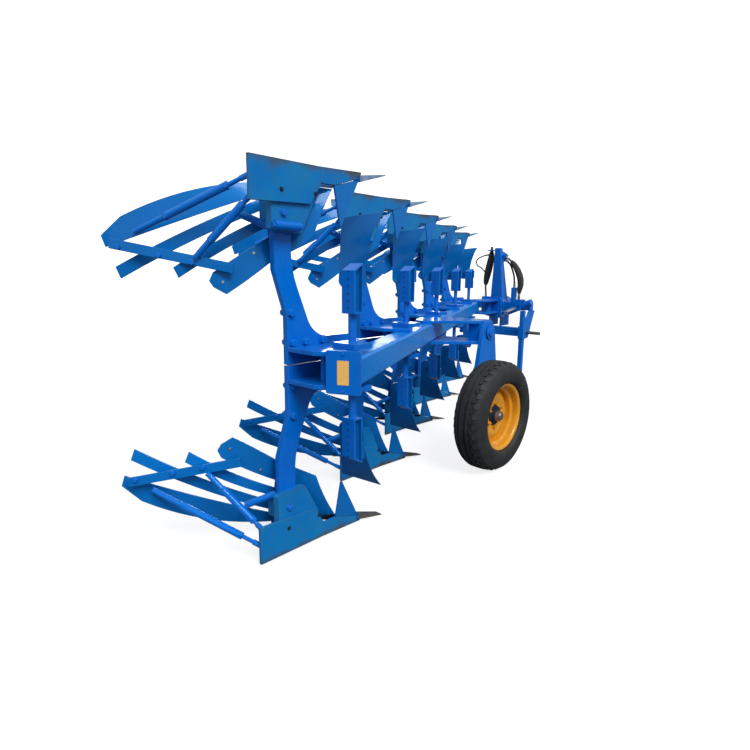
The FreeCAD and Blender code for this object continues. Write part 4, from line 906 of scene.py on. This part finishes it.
# Places of the bolts on the slats and on the rail behind them, each with the way that it faces.
SLAT_BOLTS = [((-0.738, 0.2055, 0.487), (0.90, -0.43, -0.06)),
              ((-0.614, 0.163, 0.369), (0.94, -0.33, -0.11))]
RAIL_BOLTS = [((-0.832, 0.2722, 0.410), (0.68, -0.74, 0.0)),
              ((-0.920, 0.3690, 0.384), (0.68, -0.74, 0.0)),
              ((-1.028, 0.4870, 0.352), (0.68, -0.74, 0.0))]
# Rows of holes up a skimmer's holder and stem, painted as flat dark discs of shade: where the part lies from
# the middle of the beam, the first hole and how many there are.
HOLE_ROWS = [(0.14, 0.22, 0.105, 4), (0.24, 0.50, 0.250, 6)]
HOLE_PITCH, HOLE_RADIUS = 0.030, 0.0042
END_PLATE_RISE, END_PLATE_HALF = 0.077, 0.006


class PLOUGH_OT_fastenings(bpy.types.Operator):
    """Set the bolts and nuts on legs, landsides, frogs, slats, rails and the end plate"""

    bl_idname = "plough.fastenings"
    bl_label = "Bolts and nuts"

    def execute(self, context):
        painted, bright, dark = bmesh.new(), bmesh.new(), bmesh.new()
        for station, turned in itertools.product(range(STATIONS), (False, True)):
            self.leg_bolts(painted, station, turned)
            self.landside_bolts(dark, station, turned)
            for bm, spots, across, head in ((bright, SLAT_BOLTS, 0.009, 0.005),
                                            (painted, RAIL_BOLTS, 0.019, 0.012)):
                for place, facing in spots:
                    bolt(bm, at(station, *place, turned), flipped(facing, turned), across, head)
            self.frog_bolts(painted, station, turned)
        # The stems' holes are painted: flat dark discs of shade, not cut holes.
        for node, sign in (("skimmer_stems_lower", -1), ("skimmer_stems_upper", 1)):
            for points in islands(node):
                self.painted_hole_shade(dark, points, sign)
        self.end_plate_bolts(painted)
        piece("painted_bolts", painted, "blue", FRAME_BODY)
        piece("slat_bolts", bright, "zinc", FRAME_BODY)
        piece("dark_bolts_and_hole_shade", dark, "dark", FRAME_BODY)
        return {"FINISHED"}

    def leg_bolts(self, bm, station, turned):
        """Bolts through a leg into its console and its frog, with nuts behind."""
        across = sizes().bolt_across
        for forward, down in LEG_BOLTS:
            bolt(bm, at(station, forward, LEG_FACE, BEAM_ABOVE - down, turned), RIGHT)
            nut(bm, at(station, forward, LEG_FACE + LEG_DEPTH, BEAM_ABOVE - down, turned), -RIGHT, across)

    def landside_bolts(self, bm, station, turned):
        """Sunk square bolts that hold a landside."""
        for forward in LANDSIDE_BOLTS:
            seat = along(at(station, forward, LANDSIDE_RIGHT, LANDSIDE_BOLT_HEIGHT, turned), RIGHT)
            disc(bm, seat, -0.003, 0.0012, 0.010, 14)
            disc(bm, seat, 0.0012, 0.004, 0.0070, 4, top=0.0060)

    def frog_bolts(self, bm, station, turned):
        """A bolt on a frog and, on the upper bodies, a bush beside it."""
        if turned:
            start = at(station, BUSH_AHEAD, FROG_FACE - 0.017, BUSH_HEIGHT, turned)
            bush = along(start, Vector((0, 1, 0)))
            disc(bm, bush, 0.0, BUSH_LENGTH, 0.018, 20)
            disc(bm, bush, BUSH_LENGTH, BUSH_LENGTH + 0.012, 0.0125, 6)
            disc(bm, bush, -0.010, 0.0, 0.0125, 6)
        seat = along(at(station, FROG_BOLT_AHEAD, FROG_FACE, FROG_BOLT_HEIGHT, turned), RIGHT)
        disc(bm, seat, -0.002, 0.002, 0.017, 16)
        spot = at(station, FROG_BOLT_AHEAD, FROG_FACE - 0.002, FROG_BOLT_HEIGHT, turned)
        bolt(bm, spot, RIGHT, sizes().small_bolt, 0.010)

    def painted_hole_shade(self, bm, points, sign):
        """Flat dark discs up the rear of one solid of a skimmer's holder and stem: painted shade where its
        holes are.
        """
        for near, far, first, count in HOLE_ROWS:
            part = [p for p in points if near < (p.z - BEAM_Z) * sign < far]
            if part:
                rear = min(p.y for p in part)
                middle = (min(p.x for p in part) + max(p.x for p in part)) / 2
                for index in range(count):
                    spot = Vector((middle, rear, BEAM_Z + sign * (first + HOLE_PITCH * index)))
                    disc(bm, along(spot, Vector((0, -1, 0))), -0.002, 0.0006, HOLE_RADIUS, 12)

    def end_plate_bolts(self, bm):
        """Two small bolts on the beam's end plate, above and below its middle."""
        low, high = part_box("beam_end_plate")
        slope = math.atan2(FURROW, PITCH)
        back = Vector((math.sin(slope), -math.cos(slope), 0))
        for rise in (-END_PLATE_RISE, END_PLATE_RISE):
            spot = (low + high) / 2 + back * END_PLATE_HALF + Vector((0, 0, rise))
            bolt(bm, spot, back, 0.011, 0.006)


# ------ stays
class PLOUGH_OT_stays(bpy.types.Operator):
    """Make the adjustable stays between slats, landsides and legs"""

    bl_idname = "plough.stays"
    bl_label = "Stays"

    def execute(self, context):
        for node in ("stays_lower", "stays_upper"):
            bm = bmesh.new()
            for points in islands(node):
                start, end = sorted(ends_of(points), key=lambda p: p.x)
                run = end - start
                place, length = along(start, run.normalized()), run.length
                short = length < 0.2
                first, last = (0.10, 0.86) if short else (0.30, 0.80)
                disc(bm, place, 0.0, length, sizes().stay_rod, 14)
                disc(bm, place, 0.02, length * first, sizes().stay_sleeve * 0.80, 16)
                disc(bm, place, length * first, length * last, sizes().stay_sleeve, 20)
                for share, sign in ((first, -1), (last, 1)):
                    near, far = sorted((length * share, length * share + sign * 0.014))
                    disc(bm, place, near, far, sizes().stay_sleeve * 1.12, 6)
                for low, high in ((0.0, 0.04), (length - 0.04, length)):
                    disc(bm, place, low, high, sizes().stay_rod * 1.3, 10)
            piece("turnbuckle_" + node, bm, "blue", FRAME_BODY, stands_for=(node,))
        return {"FINISHED"}


# ------ gauge wheel
# Outlines have places along the axle and radii. RIBS has heights from the tread, and CHANNEL to FOOT drops.
RIBS = [(-0.052, 0.000), (-0.048, -0.011), (-0.038, -0.011), (-0.034, 0.000), (-0.010, 0.000),
        (-0.006, -0.011), (0.006, -0.011), (0.010, 0.000), (0.022, 0.000), (0.026, -0.010)]
CROWN = 0.045
CHANNEL = [(0.060, 0.0135), (0.071, 0.020)]
EDGE = [(0.060, 0.006), (0.072, 0.013)]
WALL = [(0.083, 0.024), (0.093, 0.042), (0.0995, 0.066)]
BULGE_IN, BULGE_DROP = 0.001, 0.088
FOOT = [(0.0995, 0.105), (0.096, 0.118), (0.090, 0.128), (0.082, 0.133), (0.072, 0.135)]
BEAD = (0.070, 0.200)
# Corners of the blocks of three rows, along the axle and round the tyre.
LUG = [(-0.056, -0.012), (-0.056, 0.012), (-0.090, 0.009), (-0.090, -0.009)]
INNER_BLOCK = [(0.031, -0.019), (0.031, 0.013), (0.050, 0.019), (0.050, -0.013)]
OUTER_BLOCK = [(0.053, -0.019), (0.053, 0.013), (0.084, 0.016), (0.084, -0.012)]
FLANGE = [(0.060, 0.195), (0.066, 0.204), (0.069, 0.212), (0.075, 0.212), (0.075, 0.206),
          (0.070, 0.196), (0.062, 0.189)]
WELL_OUT = [(-0.040, 0.193), (-0.034, 0.172), (0.020, 0.172), (0.030, 0.193)]
WELL_IN = [(0.034, 0.187), (0.024, 0.166), (-0.038, 0.166), (-0.044, 0.187)]
DISH = [(-0.010, 0.044), (-0.002, 0.044), (0.004, 0.060), (0.004, 0.095), (0.012, 0.108),
        (0.012, 0.128), (0.000, 0.146), (-0.010, 0.167), (-0.018, 0.167), (-0.008, 0.144),
        (0.004, 0.127), (0.004, 0.110), (-0.004, 0.098), (-0.004, 0.062)]
HUB = [(-0.078, 0.0205), (0.046, 0.0205), (0.046, 0.0), (0.060, 0.0), (0.060, 0.022), (0.052, 0.030),
       (0.030, 0.034), (0.026, 0.042), (0.013, 0.045), (0.012, 0.062), (0.0055, 0.065),
       (0.0055, 0.0435), (-0.0103, 0.0435), (-0.0103, 0.082), (-0.022, 0.082), (-0.022, 0.052),
       (-0.078, 0.040)]
CAP_START = 0.029
NUT_CIRCLE, NUT_OUT, NUT_ACROSS = 0.078, 0.0045, 0.018


def ring(profile, centre, steps):
    """Spin a closed profile of (along, radius) points about the wheel's axle."""
    bm = bmesh.new()
    verts = [bm.verts.new(centre + Vector((x, 0, r))) for x, r in profile]
    edges = [bm.edges.new((verts[i], verts[(i + 1) % len(verts)])) for i in range(len(verts))]
    bmesh.ops.spin(bm, geom=verts + edges, cent=centre, axis=(1, 0, 0), angle=math.tau, steps=steps,
                   use_merge=True)
    bmesh.ops.remove_doubles(bm, verts=bm.verts, dist=1e-5)
    return bm


def dropped(outline, outer):
    """Turn drops from the tread into radii."""
    return [(x, outer - drop) for x, drop in outline]


def mirrored(outline):
    """The same outline on the left of the wheel's middle."""
    return [(-x, r) for x, r in reversed(outline)]


def block(bm, spot, corners, radius):
    """A block of tread whose top follows the tyre's shoulder, wider at its foot."""
    rows = []
    for spread, drop in ((1.0, 0.0042), (1.15, 0.035)):
        places = [(x, y * spread, radius - drop - max(0, abs(x) - 0.060) * 0.92) for x, y in corners]
        rows.append([bm.verts.new(spot @ Vector(place)) for place in places])
    top, foot = rows
    bm.faces.new(top)
    bm.faces.new(foot)
    for i in range(4):
        bm.faces.new((top[i], top[(i + 1) % 4], foot[(i + 1) % 4], foot[i]))


class PLOUGH_OT_wheel(bpy.types.Operator):
    """Make the tyre with its tread, the dished rim and the hub"""

    bl_idname = "plough.wheel"
    bl_label = "Gauge wheel"

    def execute(self, context):
        low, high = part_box("tyre")
        centre = (low + high) / 2
        self.make_tyre(centre, (high.z - low.z) / 2, (high.x - low.x) / 2)
        self.make_rim(centre)
        self.make_hub(centre)
        return {"FINISHED"}

    def make_tyre(self, centre, outer, half):
        ribs = [(x, outer + r - abs(x) * CROWN) for x, r in RIBS]
        bulge = (half - BULGE_IN, outer - BULGE_DROP)
        side = [*dropped(WALL, outer), bulge, *dropped(FOOT, outer), BEAD]
        left = mirrored([*dropped(EDGE, outer), *side])
        bm = ring([*ribs, *dropped(CHANNEL, outer), *side, *left], centre, 96)
        lugs, blocks = sizes().tread_lugs, sizes().tread_blocks
        for count, shift, corners in ((lugs, 0.5, LUG), (blocks, 0.0, INNER_BLOCK),
                                      (blocks, 0.5, OUTER_BLOCK)):
            for index in range(count):
                turn = Matrix.Rotation(math.tau * (index + shift) / count, 4, "X")
                block(bm, Matrix.Translation(centre) @ turn, corners, outer)
        piece("ribbed_tyre", bm, "tyre", WHEEL_BODY, smooth=38.0, stands_for=("tyre",))

    def make_rim(self, centre):
        wheel = ring([*mirrored(FLANGE), *WELL_OUT, *FLANGE, *WELL_IN], centre, 72)
        dish = ring(DISH, centre, 72)
        mesh = bpy.data.meshes.new("dish")
        dish.to_mesh(mesh)
        dish.free()
        wheel.from_mesh(mesh)
        bpy.data.meshes.remove(mesh)
        piece("dished_rim", wheel, "wheel", WHEEL_BODY, smooth=40.0, stands_for=("wheel_rim",))

    def make_hub(self, centre):
        made = piece("wheel_hub_casting", ring(HUB, centre, 48), "dark", WHEEL_BODY, smooth=35.0,
                     stands_for=("wheel_hub",))
        second_finish(made, "steel", lambda place: place.x > centre.x + CAP_START)
        nuts = bmesh.new()
        count = sizes().rim_nuts
        for index in range(count):
            turn = Matrix.Rotation(math.tau * index / count, 4, "X")
            nut(nuts, centre + (turn @ Vector((NUT_OUT, 0, NUT_CIRCLE))), RIGHT, NUT_ACROSS)
        piece("wheel_nuts", nuts, "wheel", WHEEL_BODY)


# ------ panel and running order
OPERATORS = [PLOUGH_OT_stage, PLOUGH_OT_hoses, PLOUGH_OT_plates, PLOUGH_OT_fastenings, PLOUGH_OT_stays,
             PLOUGH_OT_wheel]
GROUPS_OF_SETTINGS = [(StageSettings, "plough_stage"), (PaintSettings, "plough_paint"),
                      (PloughSizes, "plough_sizes")]


class PLOUGH_PT_panel(bpy.types.Panel):
    """Lists the plough's pieces and settings"""

    bl_idname = "PLOUGH_PT_panel"
    bl_label = "Plough"
    bl_space_type = "VIEW_3D"
    bl_region_type = "UI"
    bl_category = "Plough"

    def draw(self, context):
        for operator in OPERATORS:
            self.layout.operator(operator.bl_idname)
        for kind, name in GROUPS_OF_SETTINGS:
            box = self.layout.box()
            for key in kind.__annotations__:
                box.prop(getattr(context.scene, name), key)


def register():
    for kind, name in GROUPS_OF_SETTINGS:
        bpy.utils.register_class(kind)
        setattr(bpy.types.Scene, name, PointerProperty(type=kind))
    for kind in [*OPERATORS, PLOUGH_PT_panel]:
        bpy.utils.register_class(kind)


def unregister():
    for kind in [PLOUGH_PT_panel, *reversed(OPERATORS)]:
        bpy.utils.unregister_class(kind)
    for kind, name in reversed(GROUPS_OF_SETTINGS):
        delattr(bpy.types.Scene, name)
        bpy.utils.unregister_class(kind)


def main():
    register()
    for step in ("stage", "hoses", "plates", "fastenings", "stays", "wheel"):
        getattr(bpy.ops.plough, step)()


if __name__ == "__main__":
    main()
